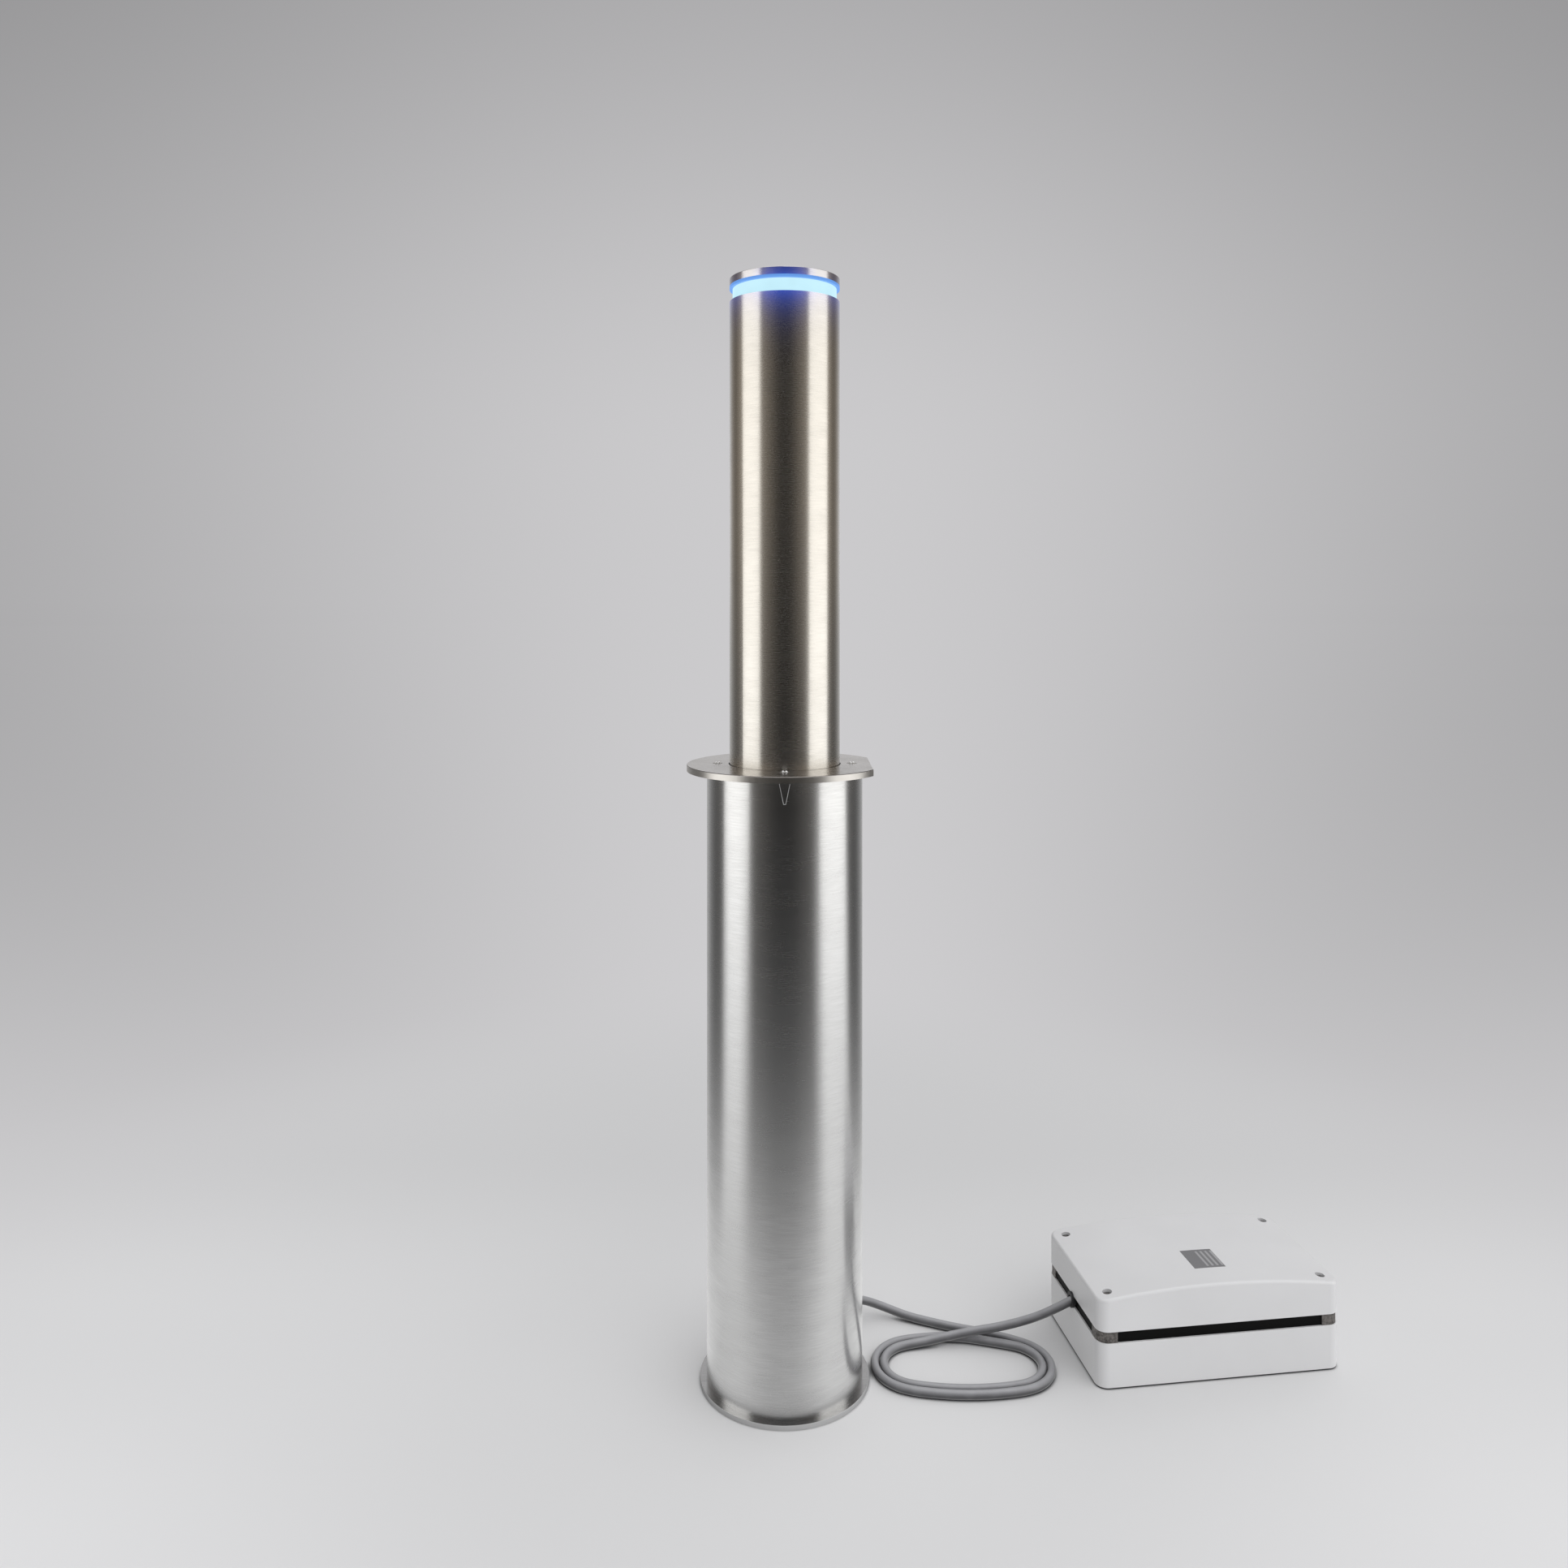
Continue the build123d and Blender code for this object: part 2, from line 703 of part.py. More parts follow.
# Column tube: the post that rises out of the ground
with BuildPart() as column_tube:
    with BuildSketch(Plane.XY.offset(column_bottom)):
        Circle(column_r)
        Circle(column_inner_r, mode=Mode.SUBTRACT)
    extrude(amount=column_top - column_bottom)
    for index in range(foot_screw_count):
        screw_angle = foot_screw_turn + 360 / foot_screw_count * index
        with BuildSketch(radial_plane(column_inner_r, screw_angle, foot_top - foot_h / 2)):
            Circle(foot_screw_r + screw_gap)
        extrude(amount=2 * column_wall, both=True, mode=Mode.SUBTRACT)
column_tube.part.label = "column_tube"
export_step(column_tube.part, "parts/column_tube.step")

# Foot guide: a plastic ring that runs in the casing, notched for the guide rails
with BuildPart() as foot_guide:
    with BuildSketch(Plane.XY.offset(foot_bottom)):
        Circle(casing_inner_r - slide_gap)
        Circle(foot_bore_r, mode=Mode.SUBTRACT)
    extrude(amount=foot_h)
    with BuildSketch(Plane.XY.offset(column_bottom)):
        Circle(column_r)
    extrude(amount=foot_h, mode=Mode.SUBTRACT)
    with BuildSketch(Plane.XY.offset(foot_bottom)):
        with PolarLocations(casing_inner_r, 2):
            Rectangle(2 * (rail_depth + rail_gap), rail_w + 2 * rail_gap)
    extrude(amount=foot_h, mode=Mode.SUBTRACT)
    for index in range(foot_screw_count):
        screw_angle = foot_screw_turn + 360 / foot_screw_count * index
        with BuildSketch(radial_plane(column_inner_r, screw_angle, foot_top - foot_h / 2)):
            Circle(foot_screw_r + screw_gap)
        extrude(amount=casing_inner_r - column_inner_r, mode=Mode.SUBTRACT)
        head_seat_r = casing_inner_r - foot_screw_depth - foot_screw_head_h
        with BuildSketch(radial_plane(head_seat_r, screw_angle, foot_top - foot_h / 2)):
            Circle(foot_screw_head_r + screw_gap)
        extrude(amount=casing_inner_r - head_seat_r, mode=Mode.SUBTRACT)
foot_guide.part.label = "foot_guide"
export_step(foot_guide.part, "parts/foot_guide.step")

# Foot screws: four screws that hold the foot guide on the column tube
with BuildPart() as foot_screws:
    for index in range(foot_screw_count):
        screw_angle = foot_screw_turn + 360 / foot_screw_count * index
        with BuildSketch(radial_plane(head_seat_r, screw_angle, foot_top - foot_h / 2)):
            Circle(foot_screw_head_r)
        extrude(amount=foot_screw_head_h)
        with BuildSketch(radial_plane(column_inner_r, screw_angle, foot_top - foot_h / 2)):
            Circle(foot_screw_r)
        extrude(amount=head_seat_r - column_inner_r)
foot_screws.part.label = "foot_screws"
export_step(foot_screws.part, "parts/foot_screws.step")

# Head plate: welded in the top of the column, it carries the push tube and the light
with BuildPart() as head_plate:
    with BuildSketch(Plane.XY.offset(head_bottom)):
        Circle(column_inner_r)
        with Locations((terminal_x, coiled_lead_y)):
            Circle(light_wire_r, mode=Mode.SUBTRACT)
        with PolarLocations(cap_screw_pcr, cap_screw_count):
            Circle(cap_screw_r + screw_gap, mode=Mode.SUBTRACT)
    extrude(amount=head_plate_t)
    with Locations((screw_x, 0, column_top)):
        CounterBoreHole(
            push_bolt_r + screw_gap,
            push_bolt_head_r + slide_gap,
            push_bolt_head_h + slide_gap,
        )
head_plate.part.label = "head_plate"
export_step(head_plate.part, "parts/head_plate.step")

# Push tube bolt: a hexagon bolt sunk in the head plate
with BuildPart() as push_tube_bolt:
    with BuildSketch(Plane.XY.offset(column_top - push_bolt_head_h - slide_gap)):
        with Locations((screw_x, 0)):
            RegularPolygon(push_bolt_head_r, 6)
    extrude(amount=push_bolt_head_h)
    with BuildSketch(Plane.XY.offset(column_top - push_bolt_head_h - slide_gap)):
        with Locations((screw_x, 0)):
            Circle(push_bolt_r)
    extrude(amount=-head_plate_t + push_bolt_head_h + slide_gap - push_bolt_depth)
push_tube_bolt.part.label = "push_tube_bolt"
export_step(push_tube_bolt.part, "parts/push_tube_bolt.step")

# Light carrier: an aluminium core on the head plate, with a boss inside the diffuser
diffuser_bore_r = column_r - diffuser_w
with BuildPart() as led_carrier:
    with BuildSketch(Plane.XY.offset(column_top)):
        Circle(led_carrier_r)
    extrude(amount=lens_h)
    with BuildSketch(Plane.XY.offset(lens_top)):
        Circle(diffuser_bore_r - slide_gap)
    extrude(amount=diffuser_t)
    with BuildSketch(Plane.XY.offset(column_top)):
        with PolarLocations(cap_screw_pcr, cap_screw_count):
            Circle(cap_screw_r + screw_gap)
    extrude(amount=lens_h + diffuser_t, mode=Mode.SUBTRACT)
led_carrier.part.label = "led_carrier"
export_step(led_carrier.part, "parts/led_carrier.step")

# Light strip: a flexible strip of diodes round the carrier
with BuildPart() as led_strip:
    with BuildSketch(Plane.XY.offset(column_top + (lens_h - led_strip_h) / 2)):
        Circle(led_carrier_r + led_strip_t)
        Circle(led_carrier_r, mode=Mode.SUBTRACT)
    extrude(amount=led_strip_h)
led_strip.part.label = "led_strip"
export_step(led_strip.part, "parts/led_strip.step")

# Lens ring: the clear ring that the light shows through
with BuildPart() as lens_ring:
    with BuildSketch(Plane.XY.offset(column_top)):
        Circle(lens_r)
        Circle(lens_r - lens_wall, mode=Mode.SUBTRACT)
    extrude(amount=lens_h)
lens_ring.part.label = "lens_ring"
export_step(lens_ring.part, "parts/lens_ring.step")

# Diffuser ring: a thin clear washer that shows as a blue line under the cap
with BuildPart() as diffuser_ring:
    with BuildSketch(Plane.XY.offset(lens_top)):
        Circle(column_r)
        Circle(diffuser_bore_r, mode=Mode.SUBTRACT)
    extrude(amount=diffuser_t)
diffuser_ring.part.label = "diffuser_ring"
export_step(diffuser_ring.part, "parts/diffuser_ring.step")

# Cap: a flat steel disc with countersunk holes for its three screws
with BuildPart() as cap:
    with BuildSketch(Plane.XY.offset(cap_bottom)):
        Circle(column_r)
    extrude(amount=cap_t)
    fillet(cap.edges().group_by(Axis.Z)[-1], radius=cap_edge)
    with Locations((0, 0, cap_top)):
        with PolarLocations(cap_screw_pcr, cap_screw_count):
            CounterSinkHole(cap_screw_r + screw_gap, cap_screw_head_r + head_gap)
cap.part.label = "cap"
export_step(cap.part, "parts/cap.step")

# Cap screws: three countersunk screws that reach down into the head plate
cap_screw = countersunk_screw(cap_screw_head_r, cap_screw_head_h, cap_screw_r, cap_screw_length)
with BuildPart() as cap_screws:
    with Locations((0, 0, cap_top - slide_gap)):
        with PolarLocations(cap_screw_pcr, cap_screw_count):
            add(cap_screw)
    with BuildSketch(Plane.XY.offset(cap_top)):
        with PolarLocations(cap_screw_pcr, cap_screw_count):
            RegularPolygon(socket_r, 6)
    extrude(amount=-socket_depth, mode=Mode.SUBTRACT)
cap_screws.part.label = "cap_screws"
export_step(cap_screws.part, "parts/cap_screws.step")

# Terminal block: a sealed junction box on the base plate, open for the inner lead
with BuildPart() as terminal_block:
    with BuildSketch(Plane.XY.offset(base_plate_t)):
        with Locations((terminal_x, terminal_y)):
            RectangleRounded(terminal_size[0], terminal_size[1], 2)
    extrude(amount=terminal_size[2])
    fillet(terminal_block.edges().group_by(Axis.Z)[-1], radius=1)
terminal_block.part.label = "terminal_block"
export_step(terminal_block.part, "parts/terminal_block.step")

# Coiled lead: feeds the light, and folds up as the column comes down
with BuildPart() as coiled_lead:
    with BuildSketch(Plane.XY.offset(base_plate_t + terminal_size[2])):
        with Locations((terminal_x, coiled_lead_y)):
            Circle(coiled_lead_r)
    extrude(amount=head_bottom - slide_gap - base_plate_t - terminal_size[2])
coiled_lead.part.label = "coiled_lead"
export_step(coiled_lead.part, "parts/coiled_lead.step")

# Cable gland: threaded through the casing wall, with a hexagon outside
with BuildPart() as cable_gland:
    with BuildSketch(radial_plane(casing_r - gland_inside, gland_angle, gland_z)):
        Circle(gland_thread_r)
    extrude(amount=gland_inside)
    with BuildSketch(radial_plane(casing_r, gland_angle, gland_z)):
        RegularPolygon(gland_hex_r, 6)
    extrude(amount=gland_hex_t)
    with BuildSketch(radial_plane(casing_r + gland_hex_t, gland_angle, gland_z)):
        Circle(gland_neck_r)
    extrude(amount=gland_neck_h)
    with BuildSketch(radial_plane(casing_r + gland_hex_t + gland_neck_h, gland_angle, gland_z)):
        Circle(cable_r + cable_gap)
    extrude(amount=-seal_t, mode=Mode.SUBTRACT)
cable_gland.part.label = "cable_gland"
export_step(cable_gland.part, "parts/cable_gland.step")

# Gland nut: the domed nut that clamps the cable
gland_nut_plane = radial_plane(casing_r + gland_hex_t, gland_angle, gland_z)
with BuildPart() as gland_nut:
    with BuildSketch(gland_nut_plane):
        Circle(gland_nut_r)
    extrude(amount=gland_nut_h - gland_nut_r / 2)
    with BuildSketch(gland_nut_plane.offset(gland_nut_h - gland_nut_r / 2)):
        Circle(gland_nut_r)
    with BuildSketch(gland_nut_plane.offset(gland_nut_h)):
        Circle(gland_nut_tip_r)
    loft()
    with BuildSketch(gland_nut_plane):
        Circle(gland_neck_r)
    extrude(amount=gland_neck_h, mode=Mode.SUBTRACT)
    with BuildSketch(gland_nut_plane):
        Circle(cable_r + cable_gap)
    extrude(amount=gland_nut_h, mode=Mode.SUBTRACT)
gland_nut.part.label = "gland_nut"
export_step(gland_nut.part, "parts/gland_nut.step")

# Gland locknut: holds the gland from inside the casing
with BuildPart() as gland_locknut:
    with BuildSketch(radial_plane(locknut_seat, gland_angle, gland_z)):
        RegularPolygon(locknut_r, 6)
        Circle(gland_thread_r, mode=Mode.SUBTRACT)
    extrude(amount=-locknut_t)
gland_locknut.part.label = "gland_locknut"
export_step(gland_locknut.part, "parts/gland_locknut.step")

# Inner lead: from the gland to the terminal block
gland_out = (cos(radians(gland_angle)), sin(radians(gland_angle)))


def gland_point(radius, height):
    """A point on the gland's own axis line, seen from above."""
    return (radius * gland_out[0], radius * gland_out[1], height)


inner_lead_route = [
    gland_point(casing_r - gland_inside, gland_z),
    gland_point(casing_r - gland_inside - gland_lead_run, gland_z),
    (terminal_end_x + 2 * terminal_lead_run, terminal_y + 1.5, (gland_z + terminal_lead_z) / 2),
    (terminal_end_x + terminal_lead_run, terminal_y, terminal_lead_z),
    (terminal_end_x, terminal_y, terminal_lead_z),
]
with BuildPart() as inner_lead:
    with BuildLine():
        inner_lead_path = FilletPolyline(*inner_lead_route, radius=arc_radii(inner_lead_route))
    with BuildSketch(Plane(origin=inner_lead_path @ 0, z_dir=inner_lead_path % 0)):
        Circle(inner_lead_r)
    sweep(path=inner_lead_path)
inner_lead.part.label = "inner_lead"
export_step(inner_lead.part, "parts/inner_lead.step")
report_cable("inner_lead", inner_lead_route, inner_lead_path.length)

# Cable, first stretch: from the gland round the back and down to the coil
lead_in_route = [
    gland_point(casing_r + gland_hex_t + gland_neck_h - seal_t, gland_z),
    gland_point(casing_r + gland_hex_t + gland_cable_run, gland_z),
]
lead_in_route += [(coil_x + x, y, z) for x, y, z in lead_in_places]
with BuildPart() as cable_lead_in:
    with BuildLine():
        lead_in_path = FilletPolyline(*lead_in_route, radius=arc_radii(lead_in_route))
    with BuildSketch(Plane(origin=lead_in_path @ 0, z_dir=lead_in_path % 0)):
        Circle(cable_r)
    sweep(path=lead_in_path)
cable_lead_in.part.label = "cable_lead_in"
export_step(cable_lead_in.part, "parts/cable_lead_in.step")
report_cable("cable_lead_in", lead_in_route, lead_in_path.length)

# Cable coil: the outer shape of the two oval turns that lie on the floor
coil_side_drop = sqrt((coil_side_r - coil_end_r) ** 2 - coil_end_x**2)
coil_share = coil_end_x / (coil_side_r - coil_end_r)


def oval_arcs(grow):
    """Three points on each arc of the coil's oval, at a distance outside the inner turn."""
    end_r = coil_end_r + grow
    join_x = coil_end_x + end_r * coil_share
    join_y = end_r * coil_side_drop / (coil_side_r - coil_end_r)
    tip_x = coil_end_x + end_r
    crown_y = coil_side_r + grow - coil_side_drop
    places = [
        ((join_x, -join_y), (tip_x, 0), (join_x, join_y)),
        ((join_x, join_y), (0, crown_y), (-join_x, join_y)),
        ((-join_x, join_y), (-tip_x, 0), (-join_x, -join_y)),
        ((-join_x, -join_y), (0, -crown_y), (join_x, -join_y)),
    ]
    return [[(coil_x + x, coil_y + y) for x, y in arc] for arc in places]


with BuildPart() as cable_coil:
    with BuildSketch(Plane.XY):
        with BuildLine():
            for arc in oval_arcs(coil_pitch + cable_r):
                ThreePointArc(*arc)
        make_face()
        with BuildLine():
            for arc in oval_arcs(-cable_r):
                ThreePointArc(*arc)
        make_face(mode=Mode.SUBTRACT)
    extrude(amount=2 * cable_r)
    fillet(cable_coil.edges(), radius=cable_r * 0.7)
cable_coil.part.label = "cable_coil"
export_step(cable_coil.part, "parts/cable_coil.step")

# Cable, last stretch: up out of the coil, over it and into the control box
lead_out_end = box_point(-box_length / 2 + box_band_recess, 0, cable_entry_z)
lead_out_route = [(coil_x + x, y, z) for x, y, z in lead_out_places]
lead_out_route.append(lead_out_end)
with BuildPart() as cable_lead_out:
    with BuildLine():
        lead_out_path = FilletPolyline(*lead_out_route, radius=arc_radii(lead_out_route))
    with BuildSketch(Plane(origin=lead_out_path @ 0, z_dir=lead_out_path % 0)):
        Circle(cable_r)
    sweep(path=lead_out_path)
cable_lead_out.part.label = "cable_lead_out"
export_step(cable_lead_out.part, "parts/cable_lead_out.step")
report_cable("cable_lead_out", lead_out_route, lead_out_path.length)

# Control box base: a moulded tray on a narrow plinth, with lid posts, board posts and fixing holes
box_posts = (box_length - 2 * box_post_inset, box_depth - 2 * box_post_inset)
with BuildPart() as box_base:
    with BuildSketch(box_plane):
        RectangleRounded(box_length, box_depth, box_radius)
    extrude(amount=box_base_h)
    with BuildSketch(box_plane.offset(box_wall)):
        RectangleRounded(box_length - 2 * box_wall, box_depth - 2 * box_wall, box_radius - box_wall)
    extrude(amount=box_base_h - box_wall, mode=Mode.SUBTRACT)
    with BuildSketch(box_plane):
        RectangleRounded(box_length, box_depth, box_radius)
        RectangleRounded(
            box_length - 2 * box_plinth_inset,
            box_depth - 2 * box_plinth_inset,
            box_radius - box_plinth_inset,
            mode=Mode.SUBTRACT,
        )
    extrude(amount=box_plinth_h, mode=Mode.SUBTRACT)
    with BuildSketch(box_plane.offset(box_wall)):
        with GridLocations(*box_posts, 2, 2):
            Circle(box_post_r)
    extrude(amount=box_base_h - box_wall)
    with BuildSketch(box_plane.offset(box_wall)):
        with GridLocations(*board_hole_spacing, 2, 2):
            Circle(board_post_r)
    extrude(amount=board_post_h)
    with BuildSketch(box_plane.offset(board_bottom)):
        with GridLocations(*board_hole_spacing, 2, 2):
            Circle(board_hole_r)
    extrude(amount=-board_post_h + box_wall / 2, mode=Mode.SUBTRACT)
    with BuildSketch(box_plane.offset(box_base_h)):
        with GridLocations(*box_posts, 2, 2):
            Circle(lid_screw_r + screw_gap)
    extrude(amount=-box_base_h + 2 * box_wall, mode=Mode.SUBTRACT)
    with BuildSketch(box_plane):
        with Locations((-box_fixing_x, box_fixing_y), (box_fixing_x, -box_fixing_y)):
            Circle(box_fixing_r)
    extrude(amount=box_wall, mode=Mode.SUBTRACT)
    with BuildSketch(box_end.offset(box_length / 2)):
        with Locations((0, cable_entry_z)):
            Circle(grommet_r)
    extrude(amount=-box_wall, mode=Mode.SUBTRACT)
box_base.part.label = "box_base"
export_step(box_base.part, "parts/box_base.step")

# Band gasket: the dark rubber frame between the box base and the lid
with BuildPart() as band_gasket:
    with BuildSketch(box_plane.offset(band_bottom)):
        gasket_length = box_length - 2 * box_band_recess
        gasket_depth = box_depth - 2 * box_band_recess
        gasket_radius = box_radius - box_band_recess
        RectangleRounded(gasket_length, gasket_depth, gasket_radius)
        RectangleRounded(
            gasket_length - 2 * box_band_w,
            gasket_depth - 2 * box_band_w,
            gasket_radius - box_band_w,
            mode=Mode.SUBTRACT,
        )
    extrude(amount=box_band_h)
    with BuildSketch(box_end.offset(box_length / 2)):
        with Locations((0, cable_entry_z)):
            Circle(grommet_r)
    extrude(amount=-box_band_recess - box_band_w, mode=Mode.SUBTRACT)
band_gasket.part.label = "band_gasket"
export_step(band_gasket.part, "parts/band_gasket.step")

# Band corners: four metal clips that show in the band at the corners of the box
with BuildPart() as band_corners:
    with BuildSketch(box_plane.offset(band_bottom)):
        corner_length = gasket_length + 2 * band_corner_t
        corner_depth = gasket_depth + 2 * band_corner_t
        RectangleRounded(corner_length, corner_depth, gasket_radius + band_corner_t)
        RectangleRounded(gasket_length, gasket_depth, gasket_radius, mode=Mode.SUBTRACT)
        with GridLocations(corner_length - band_corner_w, corner_depth - band_corner_w, 2, 2):
            Rectangle(band_corner_w, band_corner_w, mode=Mode.INTERSECT)
    extrude(amount=box_band_h)
band_corners.part.label = "band_corners"
export_step(band_corners.part, "parts/band_corners.step")

# Room inside the lid: cut out of the solid lid, and not a piece of its own
with BuildPart() as lid_room:
    with BuildSketch(box_side):
        with BuildLine():
            inner_half = box_length / 2 - box_wall
            Polyline(
                (-inner_half, lid_side_top - box_wall),
                (-inner_half, band_top),
                (inner_half, band_top),
                (inner_half, lid_side_top - box_wall),
            )
            ThreePointArc(
                (-inner_half, lid_side_top - box_wall),
                (0, lid_crown - box_wall),
                (inner_half, lid_side_top - box_wall),
            )
        make_face()
    extrude(amount=box_depth / 2 - box_wall, both=True)
    fillet(lid_room.edges().filter_by(Axis.Z), radius=box_radius - box_wall)

# Control box lid: a moulded shell, arched along its length, with four screw posts
with BuildPart() as box_lid:
    with BuildSketch(box_side):
        with BuildLine():
            Polyline(
                (-box_length / 2, lid_side_top),
                (-box_length / 2, band_top),
                (box_length / 2, band_top),
                (box_length / 2, lid_side_top),
            )
            ThreePointArc(
                (-box_length / 2, lid_side_top),
                (0, lid_crown),
                (box_length / 2, lid_side_top),
            )
        make_face()
    extrude(amount=box_depth / 2, both=True)
    fillet(box_lid.edges().filter_by(Axis.Z), radius=box_radius)
    fillet(box_lid.faces().sort_by(Axis.Z)[-1].edges(), radius=box_lid_edge)
    add(lid_room.part, mode=Mode.SUBTRACT)
    with BuildSketch(box_plane.offset(band_top)):
        with GridLocations(*box_posts, 2, 2):
            Circle(box_post_r)
    extrude(amount=lid_side_top - band_top - box_wall / 2)
    with BuildSketch(box_plane.offset(lid_crown)):
        with GridLocations(*box_posts, 2, 2):
            Circle(lid_recess_r)
    extrude(amount=-box_lid_arch - lid_recess_depth, mode=Mode.SUBTRACT)
    with BuildSketch(box_plane.offset(band_top)):
        with GridLocations(*box_posts, 2, 2):
            Circle(lid_screw_r + screw_gap)
    extrude(amount=lid_side_top - band_top, mode=Mode.SUBTRACT)
    with BuildSketch(box_end.offset(box_length / 2)):
        with Locations((0, cable_entry_z)):
            Circle(grommet_r)
    extrude(amount=-box_wall, mode=Mode.SUBTRACT)
box_lid.part.label = "box_lid"
export_step(box_lid.part, "parts/box_lid.step")

# Lid screws: four long screws that reach through the band into the base
lid_screw_seat = lid_side_top - lid_recess_depth
with BuildPart() as lid_screws:
    with BuildSketch(box_plane.offset(lid_screw_seat)):
        with GridLocations(*box_posts, 2, 2):
            Circle(lid_screw_head_r)
    extrude(amount=lid_screw_head_h)
    with BuildSketch(box_plane.offset(lid_screw_seat)):
        with GridLocations(*box_posts, 2, 2):
            Circle(lid_screw_r)
    extrude(amount=2 * box_wall + screw_gap - lid_screw_seat)
    with BuildSketch(box_plane.offset(lid_screw_seat + lid_screw_head_h)):
        with GridLocations(*box_posts, 2, 2):
            Rectangle(2 * lid_screw_head_r, lid_screw_r / 2)
    extrude(amount=-lid_screw_head_h / 3, mode=Mode.SUBTRACT)
lid_screws.part.label = "lid_screws"
export_step(lid_screws.part, "parts/lid_screws.step")

# Lid sleeves: four spacers round the screws, between base and lid
with BuildPart() as lid_sleeves:
    with BuildSketch(box_plane.offset(band_bottom)):
        with GridLocations(*box_posts, 2, 2):
            Circle(lid_screw_head_r)
            Circle(lid_screw_r + screw_gap, mode=Mode.SUBTRACT)
    extrude(amount=box_band_h)
lid_sleeves.part.label = "lid_sleeves"
export_step(lid_sleeves.part, "parts/lid_sleeves.step")

# Cable grommet: a rubber bush in the left end of the box, at the height of the band
grommet_plane = box_end.offset(box_length / 2)
with BuildPart() as cable_grommet:
    with BuildSketch(grommet_plane):
        with Locations((0, cable_entry_z)):
            Circle(grommet_r)
    extrude(amount=-box_band_recess - box_band_w)
    with BuildSketch(grommet_plane):
        with Locations((0, cable_entry_z)):
            Circle(grommet_collar_r)
    extrude(amount=grommet_collar_t)
    with BuildSketch(grommet_plane.offset(grommet_collar_t)):
        with Locations((0, cable_entry_z)):
            Circle(cable_r + cable_gap)
    extrude(amount=-grommet_collar_t - box_band_recess, mode=Mode.SUBTRACT)
cable_grommet.part.label = "cable_grommet"
export_step(cable_grommet.part, "parts/cable_grommet.step")

# Control board: the circuit board on the four board posts
with BuildPart() as control_board:
    with BuildSketch(box_plane.offset(board_bottom)):
        RectangleRounded(*board_size, board_post_r)
        with GridLocations(*board_hole_spacing, 2, 2):
            Circle(board_hole_r, mode=Mode.SUBTRACT)
    extrude(amount=board_t)
control_board.part.label = "control_board"
export_step(control_board.part, "parts/control_board.step")

# Board screws: four small pan-head screws into the board posts
with BuildPart() as board_screws:
    with BuildSketch(box_plane.offset(board_top)):
        with GridLocations(*board_hole_spacing, 2, 2):
            Circle(board_screw_head_r)
    extrude(amount=board_screw_head_h)
    with BuildSketch(box_plane.offset(board_top)):
        with GridLocations(*board_hole_spacing, 2, 2):
            Circle(board_hole_r - screw_gap)
    extrude(amount=-board_t - board_post_h / 2)
board_screws.part.label = "board_screws"
export_step(board_screws.part, "parts/board_screws.step")

# Transformer: a sealed block on its mounting flange
with BuildPart() as transformer:
    with BuildSketch(box_plane.offset(board_top)):
        with Locations((transformer_x, transformer_y)):
            Rectangle(transformer_flange_size[0], transformer_flange_size[1])
    extrude(amount=transformer_flange_size[2])
    with BuildSketch(box_plane.offset(board_top)):
        with Locations((transformer_x, transformer_y)):
            RectangleRounded(transformer_size[0], transformer_size[1] - transformer_flange_size[2], 2)
    extrude(amount=transformer_size[2])
transformer.part.label = "transformer"
export_step(transformer.part, "parts/transformer.step")

# Terminal strip: a row of screw terminals for the cable's cores
with BuildPart() as terminal_strip:
    with BuildSketch(box_plane.offset(board_top)):
        with Locations((terminal_strip_x, 0)):
            Rectangle(terminal_strip_size[0], terminal_strip_size[1])
    extrude(amount=terminal_strip_size[2])
    way_pitch = terminal_strip_size[1] / terminal_ways
    with BuildSketch(box_plane.offset(board_top + terminal_strip_size[2])):
        with Locations((terminal_strip_x, 0)):
            with GridLocations(0, way_pitch, 1, terminal_ways):
                Circle(terminal_screw_r)
    extrude(amount=-terminal_screw_depth, mode=Mode.SUBTRACT)
terminal_strip.part.label = "terminal_strip"
export_step(terminal_strip.part, "parts/terminal_strip.step")

# Relays: a row of sealed relays on the board
with BuildPart() as relays:
    with BuildSketch(box_plane.offset(board_top)):
        with Locations((relay_x, 0)):
            with GridLocations(0, relay_spacing, 1, relay_count):
                Rectangle(relay_size[0], relay_size[1])
    extrude(amount=relay_size[2])
relays.part.label = "relays"
export_step(relays.part, "parts/relays.step")

# Capacitor: a sealed can that stands on the board
with BuildPart() as capacitor:
    with BuildSketch(box_plane.offset(board_top)):
        with Locations((capacitor_x, capacitor_y)):
            Circle(capacitor_r)
    extrude(amount=capacitor_h)
    fillet(capacitor.edges().group_by(Axis.Z)[-1], radius=capacitor_r / 8)
capacitor.part.label = "capacitor"
export_step(capacitor.part, "parts/capacitor.step")

# Box lead: the cable's cores inside the box, down to the terminal strip
strip_top = board_top + terminal_strip_size[2]
box_lead_start = -box_length / 2 + box_band_recess + box_band_w
box_lead_route = [
    box_point(box_lead_start, 0, cable_entry_z),
    box_point(box_lead_start + box_lead_run, 0, cable_entry_z),
    box_point(terminal_strip_x - box_lead_run, 0, cable_entry_z - inner_lead_r),
    box_point(terminal_strip_x - inner_lead_r, 0, cable_entry_z - 3 * inner_lead_r),
    box_point(terminal_strip_x, 0, strip_top + 2 * inner_lead_r),
    box_point(terminal_strip_x, 0, strip_top),
]
with BuildPart() as box_lead:
    with BuildLine():
        box_lead_path = FilletPolyline(*box_lead_route, radius=arc_radii(box_lead_route))
    with BuildSketch(Plane(origin=box_lead_path @ 0, z_dir=box_lead_path % 0)):
        Circle(inner_lead_r)
    sweep(path=box_lead_path)
box_lead.part.label = "box_lead"
